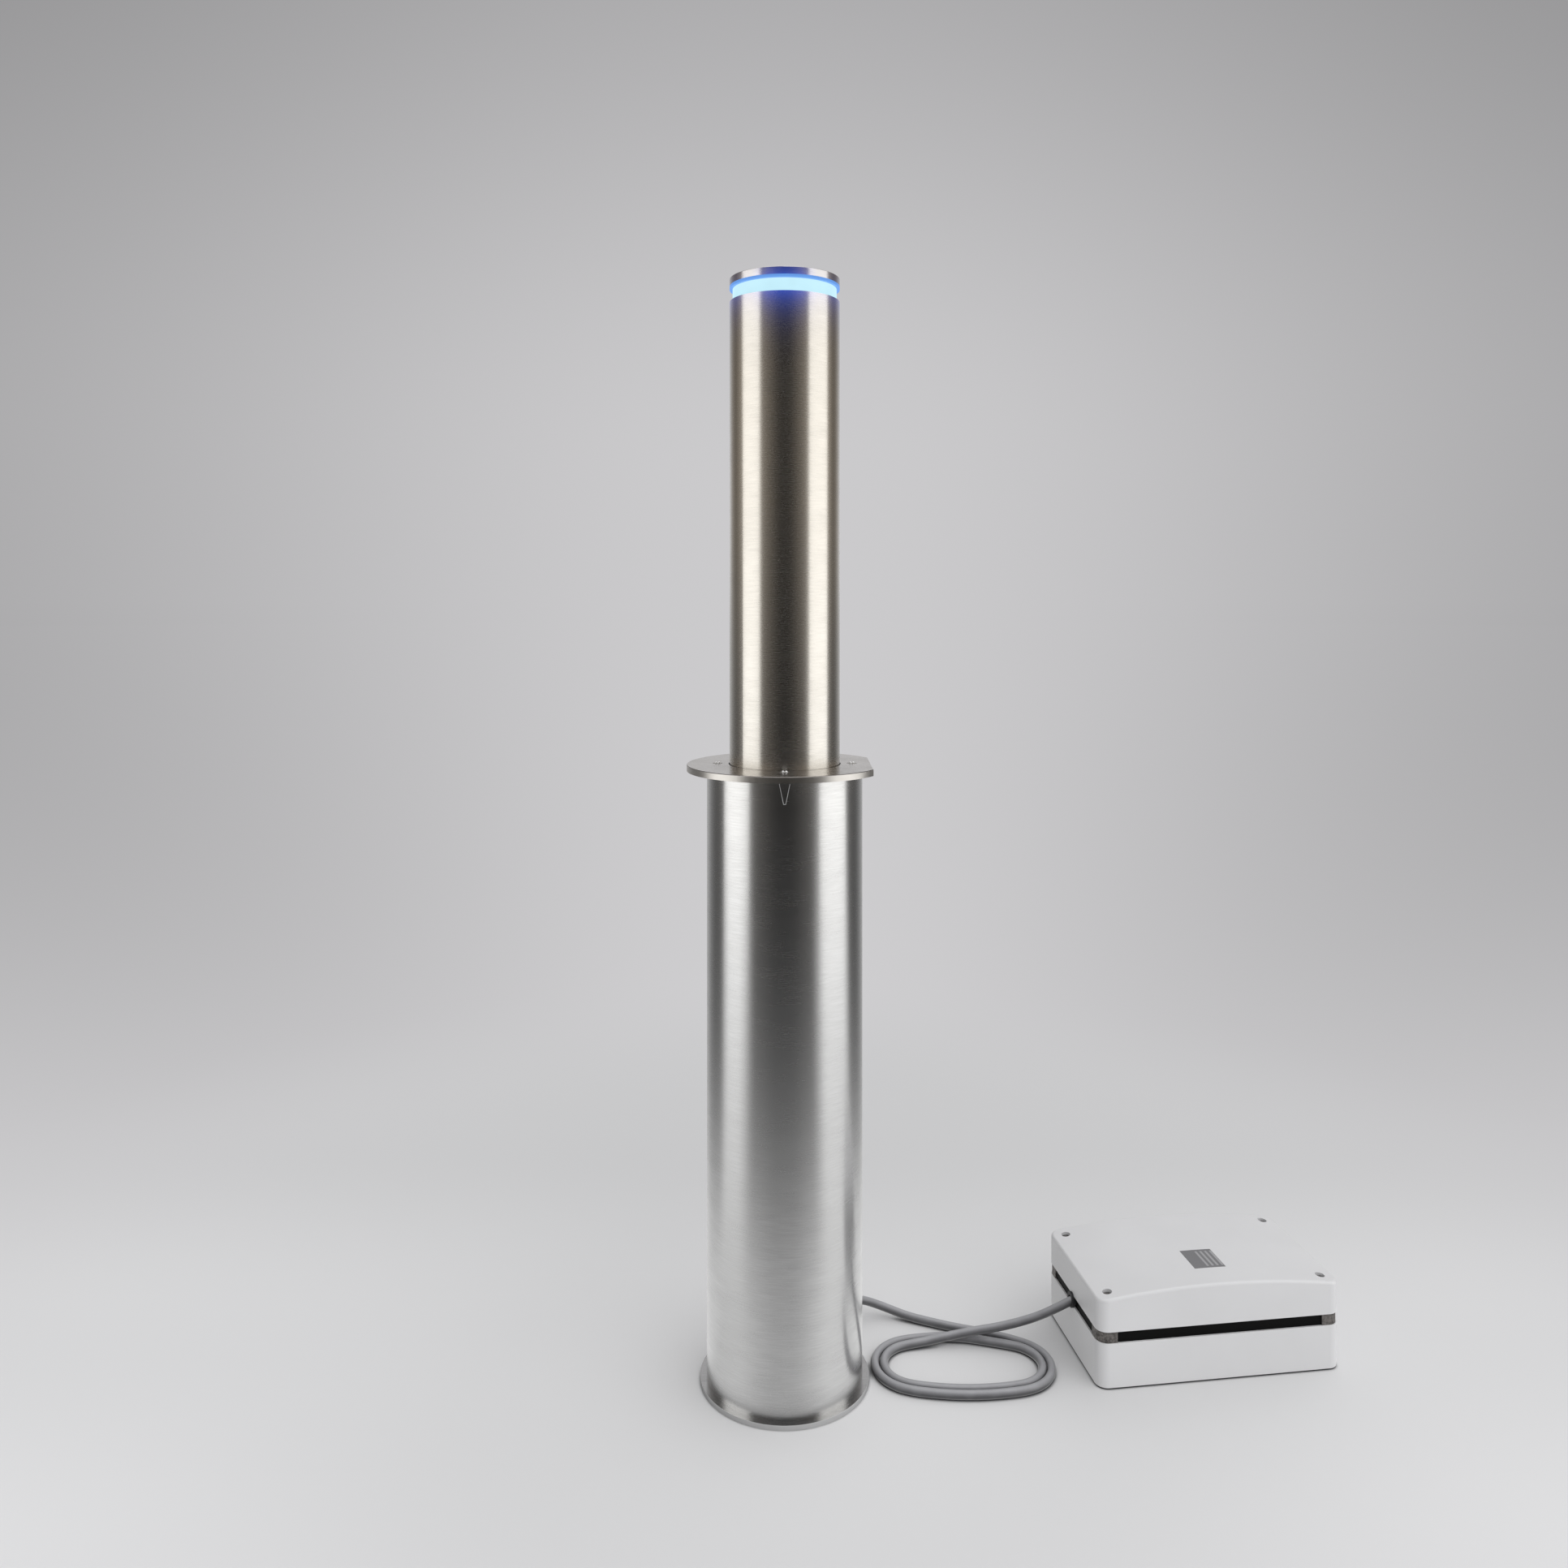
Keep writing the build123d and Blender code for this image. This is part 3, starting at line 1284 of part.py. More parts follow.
export_step(box_lead.part, "parts/box_lead.step")
report_cable("box_lead", box_lead_route, box_lead_path.length)
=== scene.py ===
"""Automatic bollard: finish, cable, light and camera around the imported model, in metres."""

import math

import bpy
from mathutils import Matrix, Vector


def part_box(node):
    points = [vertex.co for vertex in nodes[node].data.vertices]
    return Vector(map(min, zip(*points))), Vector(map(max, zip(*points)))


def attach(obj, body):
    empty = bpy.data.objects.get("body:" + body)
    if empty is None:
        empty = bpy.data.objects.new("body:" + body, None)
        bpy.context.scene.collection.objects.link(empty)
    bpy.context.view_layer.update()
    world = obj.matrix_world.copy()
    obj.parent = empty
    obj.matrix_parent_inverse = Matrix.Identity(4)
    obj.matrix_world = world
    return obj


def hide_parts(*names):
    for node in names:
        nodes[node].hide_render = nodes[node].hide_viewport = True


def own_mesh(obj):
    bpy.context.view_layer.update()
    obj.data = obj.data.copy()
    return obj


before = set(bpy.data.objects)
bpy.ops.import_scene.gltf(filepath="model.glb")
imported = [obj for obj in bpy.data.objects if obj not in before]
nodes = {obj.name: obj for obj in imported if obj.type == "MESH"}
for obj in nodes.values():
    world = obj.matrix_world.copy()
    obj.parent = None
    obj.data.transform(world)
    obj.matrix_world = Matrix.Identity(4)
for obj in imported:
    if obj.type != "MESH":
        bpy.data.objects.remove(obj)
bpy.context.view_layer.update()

# Places and sizes read from the frame
cap_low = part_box("cap")[0].z
cap_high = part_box("cap")[1].z
column_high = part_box("column_tube")[1].z
casing_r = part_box("casing_tube")[1].x
flange_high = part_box("cover_flange")[1].z
flange_r = -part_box("cover_flange")[0].x
base_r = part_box("base_plate")[1].x
lead_low, lead_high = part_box("coiled_lead")
lens_low, lens_high = (corner.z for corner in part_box("lens_ring"))
diffuser_low, diffuser_high = (corner.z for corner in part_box("diffuser_ring"))


def add_object(name, data):
    """A new object in the scene."""
    made = bpy.data.objects.new(name, data)
    bpy.context.scene.collection.objects.link(made)
    return made


def mesh_data(name, verts, faces, material):
    """A smooth mesh with one material."""
    data = bpy.data.meshes.new(name)
    data.from_pydata(verts, [], faces)
    data.polygons.foreach_set("use_smooth", [True] * len(data.polygons))
    data.materials.append(material)
    return data


# Camera: level, in front of the bollard, with the photograph's own scale and framing

PHOTO_SIDE = 1932
FOCAL_PX = 1565.0
HORIZON_PX = 737.6
AXIS_PX = 966.8
CAMERA_PLACE = (0.0, -1.327, 0.812)
SENSOR = 36.0


def add_camera():
    """The camera at the photograph's place, with its shift for the photograph's framing."""
    data = bpy.data.cameras.new("camera")
    data.sensor_width = SENSOR
    data.lens = FOCAL_PX / PHOTO_SIDE * SENSOR
    data.shift_y = (HORIZON_PX - PHOTO_SIDE / 2) / PHOTO_SIDE
    data.shift_x = (PHOTO_SIDE / 2 - AXIS_PX) / PHOTO_SIDE
    camera = add_object("camera", data)
    camera.location = CAMERA_PLACE
    camera.rotation_euler = (math.pi / 2, 0, 0)
    bpy.context.scene.camera = camera


add_camera()
bpy.context.scene.view_settings.view_transform = "Standard"


# Node helpers

class Shader:
    """A material and short ways to add its nodes. A value is a number or a socket."""

    def __init__(self, name, color, roughness, metallic=0.0):
        self.material = bpy.data.materials.new(name)
        self.material.use_nodes = True
        self.tree = self.material.node_tree
        self.bsdf = self.tree.nodes["Principled BSDF"]
        self.set("Base Color", (*color, 1))
        self.set("Roughness", roughness)
        self.set("Metallic", metallic)
        self.material.diffuse_color = (*color, 1)

    def set(self, socket, value):
        """Set a plain value on the surface."""
        self.bsdf.inputs[socket].default_value = value

    def wire(self, socket, value):
        """Link a value to the surface."""
        self.link(value, self.bsdf.inputs[socket])

    def node(self, kind, **settings):
        made = self.tree.nodes.new(kind)
        for key, value in settings.items():
            setattr(made, key, value)
        return made

    def link(self, start, end):
        self.tree.links.new(start, end)

    def feed(self, made, values):
        """Fill a node's first inputs, and give back its first output."""
        for socket, value in zip(made.inputs, values):
            if isinstance(value, (int, float)):
                socket.default_value = value
            else:
                self.link(value, socket)
        return made.outputs[0]

    def math(self, operation, a, b=0.0, clamp=False):
        return self.feed(self.node("ShaderNodeMath", operation=operation, use_clamp=clamp), (a, b))

    def add(self, a, b, clamp=False):
        return self.math("ADD", a, b, clamp)

    def sub(self, a, b):
        return self.math("SUBTRACT", a, b)

    def mul(self, a, b):
        return self.math("MULTIPLY", a, b)

    def div(self, a, b):
        return self.math("DIVIDE", a, b)

    def less(self, a, b):
        return self.math("LESS_THAN", a, b)

    def more(self, a, b):
        return self.math("GREATER_THAN", a, b)

    def absolute(self, a):
        return self.math("ABSOLUTE", a)

    def vector(self, x, y, z):
        return self.feed(self.node("ShaderNodeCombineXYZ"), (x, y, z))

    def split(self, vector):
        """A vector's x, y and z."""
        made = self.node("ShaderNodeSeparateXYZ")
        self.link(vector, made.inputs[0])
        return made.outputs

    def point(self):
        """The point on the piece, in the piece's own frame."""
        return self.node("ShaderNodeTexCoord").outputs["Object"]

    def noise(self, vector, scale, detail, roughness=0.5):
        made = self.node("ShaderNodeTexNoise")
        made.inputs["Scale"].default_value = scale
        made.inputs["Detail"].default_value = detail
        made.inputs["Roughness"].default_value = roughness
        self.link(vector, made.inputs["Vector"])
        return made.outputs["Fac"]

    def range(self, value, low, high, out_low=0.0, out_high=1.0):
        """A straight step between two values."""
        made = self.node("ShaderNodeMapRange")
        made.inputs["From Min"].default_value = low
        made.inputs["From Max"].default_value = high
        made.inputs["To Min"].default_value = out_low
        made.inputs["To Max"].default_value = out_high
        self.link(value, made.inputs["Value"])
        return made.outputs["Result"]

    def smooth(self, value, low, high, out_low=0.0, out_high=1.0):
        """A smooth step between two values."""
        made = self.range(value, low, high, out_low, out_high)
        made.node.interpolation_type = "SMOOTHSTEP"
        return made

    def blend(self, share, when_zero, when_one):
        """A level between two levels."""
        rest = self.sub(1.0, share)
        return self.add(self.mul(when_zero, rest), self.mul(when_one, share))

    def mix(self, factor, a, b):
        """A colour between a and b. Each is a colour or a socket."""
        made = self.node("ShaderNodeMix", data_type="RGBA")
        self.link(factor, made.inputs["Factor"])
        for socket, value in ((made.inputs[6], a), (made.inputs[7], b)):
            if isinstance(value, tuple):
                socket.default_value = (*value, 1)
            else:
                self.link(value, socket)
        return made.outputs[2]

    def tint(self, level, shares=(1.0, 1.0, 1.0)):
        """A level as a colour."""
        made = self.node("ShaderNodeCombineColor")
        return self.feed(made, [self.mul(level, share) for share in shares])

    def bump(self, height, strength, distance):
        made = self.node("ShaderNodeBump")
        made.inputs["Strength"].default_value = strength
        made.inputs["Distance"].default_value = distance
        self.link(height, made.inputs["Height"])
        self.wire("Normal", made.outputs["Normal"])

    def emission(self, color):
        made = self.node("ShaderNodeEmission")
        self.link(color, made.inputs["Color"])
        return made.outputs[0]

    def choose(self, factor, when_zero, when_one):
        """One shader or another."""
        return self.feed(self.node("ShaderNodeMixShader"), (factor, when_zero, when_one))

    def axis_reach(self, x, y):
        """The distance from the Z axis."""
        return self.math("SQRT", self.add(self.mul(x, x), self.mul(y, y)))


def darker(color, share):
    """A share of a colour."""
    return tuple(share * channel for channel in color)


# Steel. A noise texture's values lie mostly within the span, and grain is counted as turns
# round the axis, rows a metre, offset and detail.

NOISE_SPAN = (0.3, 0.7)
METAL_DEPTH = 0.0002
FINE_GRAIN = (3.0, 900.0, 0.0, 2.0)
COARSE_GRAIN = (1.6, 60.0, 4.0, 4.0)
SCRATCHES = (11.0, 560.0, 9.0, 1.0)
SCRATCH_SPAN = (0.66, 0.76)
SCRATCH_SHINE = 0.03
FINE_SHARE = 0.55
BRUSH_BLUR = 0.7
BRUSH_TURN = 0.25
TUBE_BUMP = 0.10
PLATE_GRAIN = (12.0, 1400.0, 300.0)
PLATE_CLOUD = 22.0
PLATE_SPAN = (0.35, 0.65)
PLATE_FINE_SHARE = 0.6
PLATE_BUMP = 0.08
MOTTLE_BUMP = 0.05
TUBE_SPREAD = (0.035, -0.03)
PLATE_SPREAD = (0.06, -0.05)
MOTTLE_SPREAD = (0.08, -0.05)
RIM_MARGIN = 0.0002
EDGE_W = 0.0003
EDGE_HIGH = 0.0004
# Colour of the painted shade line along the top of the flange's rim
EDGE_SHADE_COLOR = (0.10, 0.09, 0.085)

# The blue light of the lit ring, painted as a glow on the steel near it
PAINTED_GLOW_FADE = 0.0135
PAINTED_GLOW_FRONT = (0.30, 0.58)
PAINTED_GLOW_COLOR = (0.03, 0.13, 1.0, 1)

# The scribed mark on the casing
MARK_LOW = 0.6100
MARK_TIP = 0.0011
MARK_SLOPE = 0.205
MARK_W = 0.00019
MARK_COLOR = (0.60, 0.60, 0.60)
MARK_ROUGH = 0.5


def ring_noise(shader, angle, z, turns, rows, offset, detail):
    """Noise that runs round the Z axis."""
    place = shader.vector(shader.mul(angle, turns), offset, shader.mul(z, rows))
    return shader.noise(place, 1.0, detail)


def uneven(shader, noise, roughness, spread):
    """A roughness that follows a noise, by a spread of most and least."""
    return shader.range(noise, *NOISE_SPAN, *(roughness + share for share in spread))


def brushed_tube(name, dark, light, roughness, grain):
    """Brushed steel on a tube: the grain and its short scratches run round the tube."""
    shader = Shader(name, light, roughness, metallic=1.0)
    x, y, z = shader.parts = shader.split(shader.point())
    shader.reach = shader.axis_reach(x, y)
    angle = shader.math("ARCTAN2", y, x)
    fine = ring_noise(shader, angle, z, *FINE_GRAIN)
    coarse = ring_noise(shader, angle, z, *COARSE_GRAIN)
    marks = shader.range(ring_noise(shader, angle, z, *SCRATCHES), *SCRATCH_SPAN)
    streaks = shader.add(shader.mul(fine, FINE_SHARE), shader.mul(coarse, 1.0 - FINE_SHARE))
    shader.tone = shader.mix(shader.range(streaks, *NOISE_SPAN), dark, light)
    shader.wire("Base Color", shader.tone)
    rough = uneven(shader, streaks, roughness, TUBE_SPREAD)
    shader.rough = shader.sub(rough, shader.mul(marks, SCRATCH_SHINE))
    shader.wire("Roughness", shader.rough)
    shader.set("Anisotropic", BRUSH_BLUR)
    shader.set("Anisotropic Rotation", BRUSH_TURN)
    tangent = shader.node("ShaderNodeTangent", direction_type="RADIAL", axis="Z")
    shader.wire("Tangent", tangent.outputs[0])
    shader.bump(fine, TUBE_BUMP * grain, METAL_DEPTH)
    return shader


def painted_ring_glow(shader, lower, upper, strength, sides):
    """Painted blue glow on the steel beside the lit ring, for its light; not on the cap's top.

    It fades over a couple of centimetres below and above the ring, and the share of it in
    sides is lost on the left and the right.
    """
    x, _, z = shader.parts
    sideways = shader.div(shader.absolute(x), shader.reach)
    front = shader.range(sideways, *PAINTED_GLOW_FRONT, strength, strength * (1.0 - sides))
    below = shader.math("MAXIMUM", shader.sub(lower, z), 0.0)
    above = shader.math("MAXIMUM", shader.sub(z, upper), 0.0)
    fade = shader.math("EXPONENT", shader.div(shader.add(below, above), -PAINTED_GLOW_FADE))
    fade = shader.mul(fade, shader.less(z, cap_high - EDGE_W))
    shader.set("Emission Color", PAINTED_GLOW_COLOR)
    shader.wire("Emission Strength", shader.mul(fade, front))


def pointer_mark(shader):
    """A thin scribed V under the flange, at the front of the casing."""
    x, y, z = shader.parts
    rise = shader.sub(z, MARK_LOW)
    half = shader.add(shader.mul(rise, MARK_SLOPE), MARK_TIP)
    side = shader.absolute(shader.sub(shader.absolute(x), half))
    legs = shader.mul(shader.less(side, MARK_W), shader.more(rise, 0.0))
    foot_shade = shader.mul(shader.less(shader.absolute(rise), MARK_W),
                      shader.less(shader.absolute(x), MARK_TIP))
    line = shader.mul(shader.math("MAXIMUM", legs, foot_shade), shader.less(y, 0.0))
    shader.wire("Base Color", shader.mix(line, shader.tone, MARK_COLOR))
    shader.wire("Roughness", shader.add(shader.rough, shader.mul(line, MARK_ROUGH)))
    shader.wire("Metallic", shader.sub(1.0, line))


def brushed_plate(name, dark, light, roughness, rim_r, rim_color, rim_roughness,
                  rim_metallic=1.0, shaded_edge_z=None):
    """Satin steel on a flat plate: fine straight grain along X and a turned rim.

    Where the edge height is given, the rim's edge above that height is painted dark: a painted
    shade line along its top.
    """
    shader = Shader(name, light, roughness, metallic=1.0)
    point = shader.point()
    parts = shader.split(point)
    stretched = [shader.mul(part, rows) for part, rows in zip(parts, PLATE_GRAIN)]
    fine = shader.noise(shader.vector(*stretched), 1.0, detail=2.0)
    cloud = shader.noise(point, PLATE_CLOUD, detail=3.0)
    tone = shader.add(shader.mul(fine, PLATE_FINE_SHARE), shader.mul(cloud, 1.0 - PLATE_FINE_SHARE))
    reach = shader.axis_reach(parts[0], parts[1])
    rim = shader.more(reach, rim_r)
    color = shader.mix(rim, shader.mix(shader.range(tone, *PLATE_SPAN), dark, light), rim_color)
    if shaded_edge_z is not None:
        # Painted shade: a dark line along the top of the rim
        edge = shader.mul(shader.more(reach, rim_r - EDGE_W), shader.more(parts[2], shaded_edge_z))
        color = shader.mix(edge, color, EDGE_SHADE_COLOR)
    shader.wire("Base Color", color)
    rough = uneven(shader, tone, roughness, PLATE_SPREAD)
    shader.wire("Roughness", shader.add(rough, shader.mul(rim, rim_roughness - roughness)))
    if rim_metallic < 1.0:
        shader.wire("Metallic", shader.range(rim, 0.0, 1.0, 1.0, rim_metallic))
    shader.bump(fine, PLATE_BUMP, METAL_DEPTH)
    return shader.material


def machined(name, color, roughness, metallic=1.0, scale=400.0, depth=0.82):
    """Plain metal with a fine mottle."""
    shader = Shader(name, color, roughness, metallic)
    mottle = shader.noise(shader.point(), scale, detail=4.0)
    shader.wire("Base Color", shader.mix(shader.range(mottle, *NOISE_SPAN),
                                         darker(color, depth), color))
    shader.wire("Roughness", uneven(shader, mottle, roughness, MOTTLE_SPREAD))
    shader.bump(mottle, MOTTLE_BUMP, METAL_DEPTH)
    return shader.material


# Plastic and rubber

PLASTIC_DEPTH = 0.0003
PLASTIC_SPREAD = (0.07, -0.05)
CLOUD_SCALE = 9.0
CLOUD_SPAN = (0.35, 0.7)
CLOUD_SHADE = 0.93
# Noise in where the cable's painted top light meets its painted shade
SHEATH_NOISE_SCALE = 60.0
SHEATH_NOISE_SPREAD = 0.08
GLOW_SCALE = 60.0
GLOW_SPAN = (0.2, 0.8)
GLOW_SPREAD = 0.03
GLOW_SHADE = 0.04
GLOW_ROUGH = 0.35
GLOW_GLOSS = 0.12

# Control box: its plastic, its directions and the painted shade on the recessed plinth under it
BOX_COLOR = (0.68, 0.68, 0.684)
BOX_SHADE = 0.95
BOX_ROUGH = 0.42
BOX_GRAIN = (1300.0, 0.10)
BOX_TURN = math.radians(8.0)
BOX_CENTRE = (0.443763, 0.06785)
FOOT_SHADE_HIGH = 0.0015
FOOT_SHADE_COLOR = (0.02, 0.02, 0.02)

# Label plate on the lid
LABEL_PLACE = (0.0035, -0.025)
LABEL_HALF = (0.0175, 0.0185)
LABEL_LOW = 0.085
LABEL_COLOR = (0.165, 0.165, 0.17)
BAR_COLOR = (0.34, 0.34, 0.345)
BAR_START = 0.0035
BAR_PITCH = 0.0055
BAR_SHARE = 0.22
BAR_HALF = 0.0150


def moulded_grain(shader, point, roughness, scale, strength):
    """A fine spark-eroded grain, in the roughness and the bump."""
    grain = shader.noise(point, scale, detail=3.0, roughness=0.6)
    shader.wire("Roughness", uneven(shader, grain, roughness, PLASTIC_SPREAD))
    shader.bump(grain, strength, PLASTIC_DEPTH)


def clouded(shader, point, color, share):
    """A faint change of tone over a moulded piece."""
    cloud = shader.noise(point, CLOUD_SCALE, detail=4.0)
    return shader.mix(shader.range(cloud, *CLOUD_SPAN), darker(color, share), color)


def moulded(name, color, roughness, grain_scale, grain_strength, gloss=0.5):
    """Moulded plastic or rubber."""
    shader = Shader(name, color, roughness)
    point = shader.point()
    shader.wire("Base Color", clouded(shader, point, color, CLOUD_SHADE))
    moulded_grain(shader, point, roughness, grain_scale, grain_strength)
    shader.set("Specular IOR Level", gloss)
    return shader.material


def sheath(name, under, top, roughness, grain_scale, grain_strength):
    """A cable's sheath: moulded plastic, painted light on its upper side and dark underneath for
    the light from above, with a little random unevenness where the two meet.
    """
    shader = Shader(name, top, roughness)
    point = shader.point()
    cloud = shader.noise(point, SHEATH_NOISE_SCALE, detail=4.0)
    facing = shader.split(shader.node("ShaderNodeNewGeometry").outputs["Normal"])
    # Painted light and shade: lighter where the surface faces up, darker where it faces down
    painted_top_light = shader.add(shader.range(facing[2], 0.0, 1.0),
                      shader.range(cloud, *NOISE_SPAN, -SHEATH_NOISE_SPREAD, SHEATH_NOISE_SPREAD), clamp=True)
    shader.wire("Base Color", shader.mix(painted_top_light, under, top))
    moulded_grain(shader, point, roughness, grain_scale, grain_strength)
    return shader.material


def glowing(name, upper, lower, strength, low, high):
    """A lit plastic ring. Its own colour is dark, so that the glow gives its tone."""
    shader = Shader(name, darker(upper, GLOW_SHADE), GLOW_ROUGH)
    point = shader.point()
    rise = shader.range(shader.split(point)[2], low, high)
    spread = shader.noise(point, GLOW_SCALE, detail=2.0)
    shader.wire("Emission Color", shader.mix(rise, lower, upper))
    shader.wire("Emission Strength", shader.range(spread, *GLOW_SPAN, strength * (1 - GLOW_SPREAD),
                                                  strength * (1 + GLOW_SPREAD)))
    shader.set("Specular IOR Level", GLOW_GLOSS)
    return shader.material


def box_skin(name):
    """The control box's plastic, painted near-black on the low band of the recessed plinth: painted
    shade for the shadow gap under the box.
    """
    shader = Shader(name, BOX_COLOR, BOX_ROUGH)
    point = shader.point()
    shader.parts = shader.split(point)
    # Painted shade: the lowest band of the plinth is near-black, for the shadow in the recess
    foot_shade = shader.less(shader.parts[2], FOOT_SHADE_HIGH)
    shader.skin = shader.mix(foot_shade, clouded(shader, point, BOX_COLOR, BOX_SHADE), FOOT_SHADE_COLOR)
    shader.wire("Base Color", shader.skin)
    moulded_grain(shader, point, BOX_ROUGH, *BOX_GRAIN)
    return shader


def label_plate(shader):
    """A bare label plate on the lid: plain bars and no text."""
    x, y, z = shader.parts
    east = shader.sub(x, BOX_CENTRE[0])
    north = shader.sub(y, BOX_CENTRE[1])
    cosine, sine = math.cos(BOX_TURN), math.sin(BOX_TURN)
    along = shader.add(shader.mul(east, cosine), shader.mul(north, sine))
    across = shader.sub(shader.mul(north, cosine), shader.mul(east, sine))
    along = shader.sub(along, LABEL_PLACE[0])
    across = shader.absolute(shader.sub(across, LABEL_PLACE[1]))
    plate = shader.mul(shader.less(shader.absolute(along), LABEL_HALF[0]),
                       shader.less(across, LABEL_HALF[1]))
    plate = shader.mul(plate, shader.more(z, LABEL_LOW))
    phase = shader.math("FRACT", shader.div(shader.add(along, BAR_START), BAR_PITCH))
    bars = shader.less(shader.absolute(shader.sub(phase, 0.5)), BAR_SHARE)
    bars = shader.mul(bars, shader.more(along, -BAR_START))
    bars = shader.mul(bars, shader.less(across, BAR_HALF))
    printed = shader.mix(bars, LABEL_COLOR, BAR_COLOR)
    shader.wire("Base Color", shader.mix(plate, shader.skin, printed))


# Materials of the carried-over nodes

def give(material, *names):
    """Put a material on carried-over nodes, in place of the plain one."""
    for name in names:
        data = nodes[name].data
        data.materials.clear()
        data.materials.append(material)


column_steel = brushed_tube("column_steel", (0.59, 0.57, 0.535), (0.665, 0.645, 0.61),
                            roughness=0.265, grain=0.38)
# Painted blue glow from the lit ring on the column, fading down from its top
painted_ring_glow(column_steel, column_high, column_high, strength=0.42, sides=0.55)
give(column_steel.material, "column_tube")

casing_steel = brushed_tube("casing_steel", (0.59, 0.59, 0.59), (0.675, 0.675, 0.675),
                            roughness=0.255, grain=0.5)
pointer_mark(casing_steel)
give(casing_steel.material, "casing_tube")

cap_steel = brushed_tube("cap_steel", (0.565, 0.555, 0.55), (0.64, 0.63, 0.625),
                         roughness=0.25, grain=0.5)
# Painted blue glow from the lit ring on the cap, fading upward from its lower edge
painted_ring_glow(cap_steel, 0.0, cap_low, strength=0.36, sides=0.85)
give(cap_steel.material, "cap")

# The flange's rim gets a painted shade line along its top edge
give(brushed_plate("flange_steel", (0.52, 0.505, 0.485), (0.63, 0.612, 0.592), 0.25,
                   flange_r - RIM_MARGIN, (0.60, 0.58, 0.555), 0.32,
                   shaded_edge_z=flange_high - EDGE_HIGH), "cover_flange")
give(brushed_plate("base_steel", (0.54, 0.54, 0.54), (0.66, 0.66, 0.66), 0.20,
                   base_r - RIM_MARGIN, (0.48, 0.48, 0.48), 0.45, rim_metallic=0.15), "base_plate")

# The number after a metal's colour is its roughness
# The pins are near-white and partly dull: a painted glint, for the bright dots where the domes
# catch the light
pin_painted_glint = machined("pin_painted_glint", (0.92, 0.92, 0.91), 0.18, metallic=0.45)
give(machined("inner_steel", (0.42, 0.42, 0.43), 0.42), "casing_collar", "guide_rails",
     "stop_posts", "actuator_foot", "head_plate", "push_tube", "lead_screw")
give(machined("screw_steel", (0.66, 0.66, 0.66), 0.25), "foot_bolts", "screw_bearing",
     "foot_screws", "push_tube_bolt", "cap_screws", "lid_sleeves", "board_screws")
give(machined("lid_screw_steel", (0.20, 0.19, 0.18), 0.40), "lid_screws")
give(machined("clip_steel", (0.175, 0.160, 0.150), 0.50, metallic=0.30, scale=420.0, depth=0.25),
     "band_corners")
give(machined("pin_screw_steel", (0.52, 0.51, 0.49), 0.30), "flange_screws")
give(machined("motor_paint", (0.05, 0.05, 0.055), 0.4, metallic=0.0), "motor")
give(machined("cast_aluminium", (0.45, 0.45, 0.46), 0.5, scale=220.0), "gearbox")
give(machined("anodised_aluminium", (0.6, 0.6, 0.62), 0.35), "actuator_tube", "led_carrier")
give(machined("bronze", (0.55, 0.40, 0.20), 0.32), "drive_nut")

# The numbers after a plastic's colour are its roughness, and its grain's scale and strength
lead_black = moulded("lead_sheath", (0.03, 0.03, 0.032), 0.42, 1500.0, 0.08)
# The cable runs from painted shade underneath to painted light on top
cable_grey = sheath("cable_sheath", (0.060, 0.060, 0.064), (0.340, 0.341, 0.354), 0.36,
                    1500.0, 0.10)
give(lead_black, "coiled_lead")
give(cable_grey, "inner_lead", "box_lead", "cable_lead_in", "cable_coil", "cable_lead_out")
give(moulded("black_rubber", (0.018, 0.018, 0.02), 0.62, 900.0, 0.15),
     "wiper_seal", "upper_stop_ring", "stop_buffers", "cable_grommet")
give(moulded("band_rubber", (0.003, 0.003, 0.003), 0.60, 900.0, 0.12, gloss=0.08), "band_gasket")
give(moulded("guide_plastic", (0.72, 0.71, 0.67), 0.42, 700.0, 0.05),
     "guide_bush", "top_bush", "foot_guide")
give(moulded("dark_plastic", (0.035, 0.035, 0.04), 0.45, 900.0, 0.10),
     "lower_sensor", "upper_sensor", "terminal_block", "transformer")
give(moulded("gland_plastic", (0.21, 0.21, 0.22), 0.48, 900.0, 0.10),
     "cable_gland", "gland_nut", "gland_locknut")
give(moulded("board_green", (0.03, 0.16, 0.07), 0.35, 600.0, 0.05), "control_board")
give(moulded("terminal_green", (0.05, 0.30, 0.12), 0.4, 600.0, 0.05), "terminal_strip")
give(moulded("relay_blue", (0.05, 0.12, 0.40), 0.3, 600.0, 0.04), "relays")
give(moulded("capacitor_black", (0.03, 0.03, 0.06), 0.3, 600.0, 0.04), "capacitor")

give(box_skin("box_plastic").material, "box_base")
lid_plastic = box_skin("lid_plastic")
label_plate(lid_plastic)
give(lid_plastic.material, "box_lid")

give(glowing("lens_glow", (0.565, 0.855, 0.96), (0.545, 0.835, 0.945), 1.0,
             lens_low, lens_high), "lens_ring")
give(glowing("diffuser_glow", (0.12, 0.30, 0.73), (0.15, 0.36, 0.84), 1.0,
             diffuser_low, diffuser_high), "diffuser_ring")
give(glowing("strip_glow", (0.7, 0.9, 1.0), (0.7, 0.9, 1.0), 1.5, lens_low, lens_high),
     "led_strip")


# Cable: one smooth line from the gland, twice round the coil and up into the control box

CABLE_R = 0.0045
BEVEL_STEPS = 6
CURVE_STEPS = 12
CURVE_ORDER = 3
GLAND_ANGLE = math.radians(55.0)
GLAND_FACE = 0.089
GLAND_RUN = 0.114
GLAND_Z = 0.027

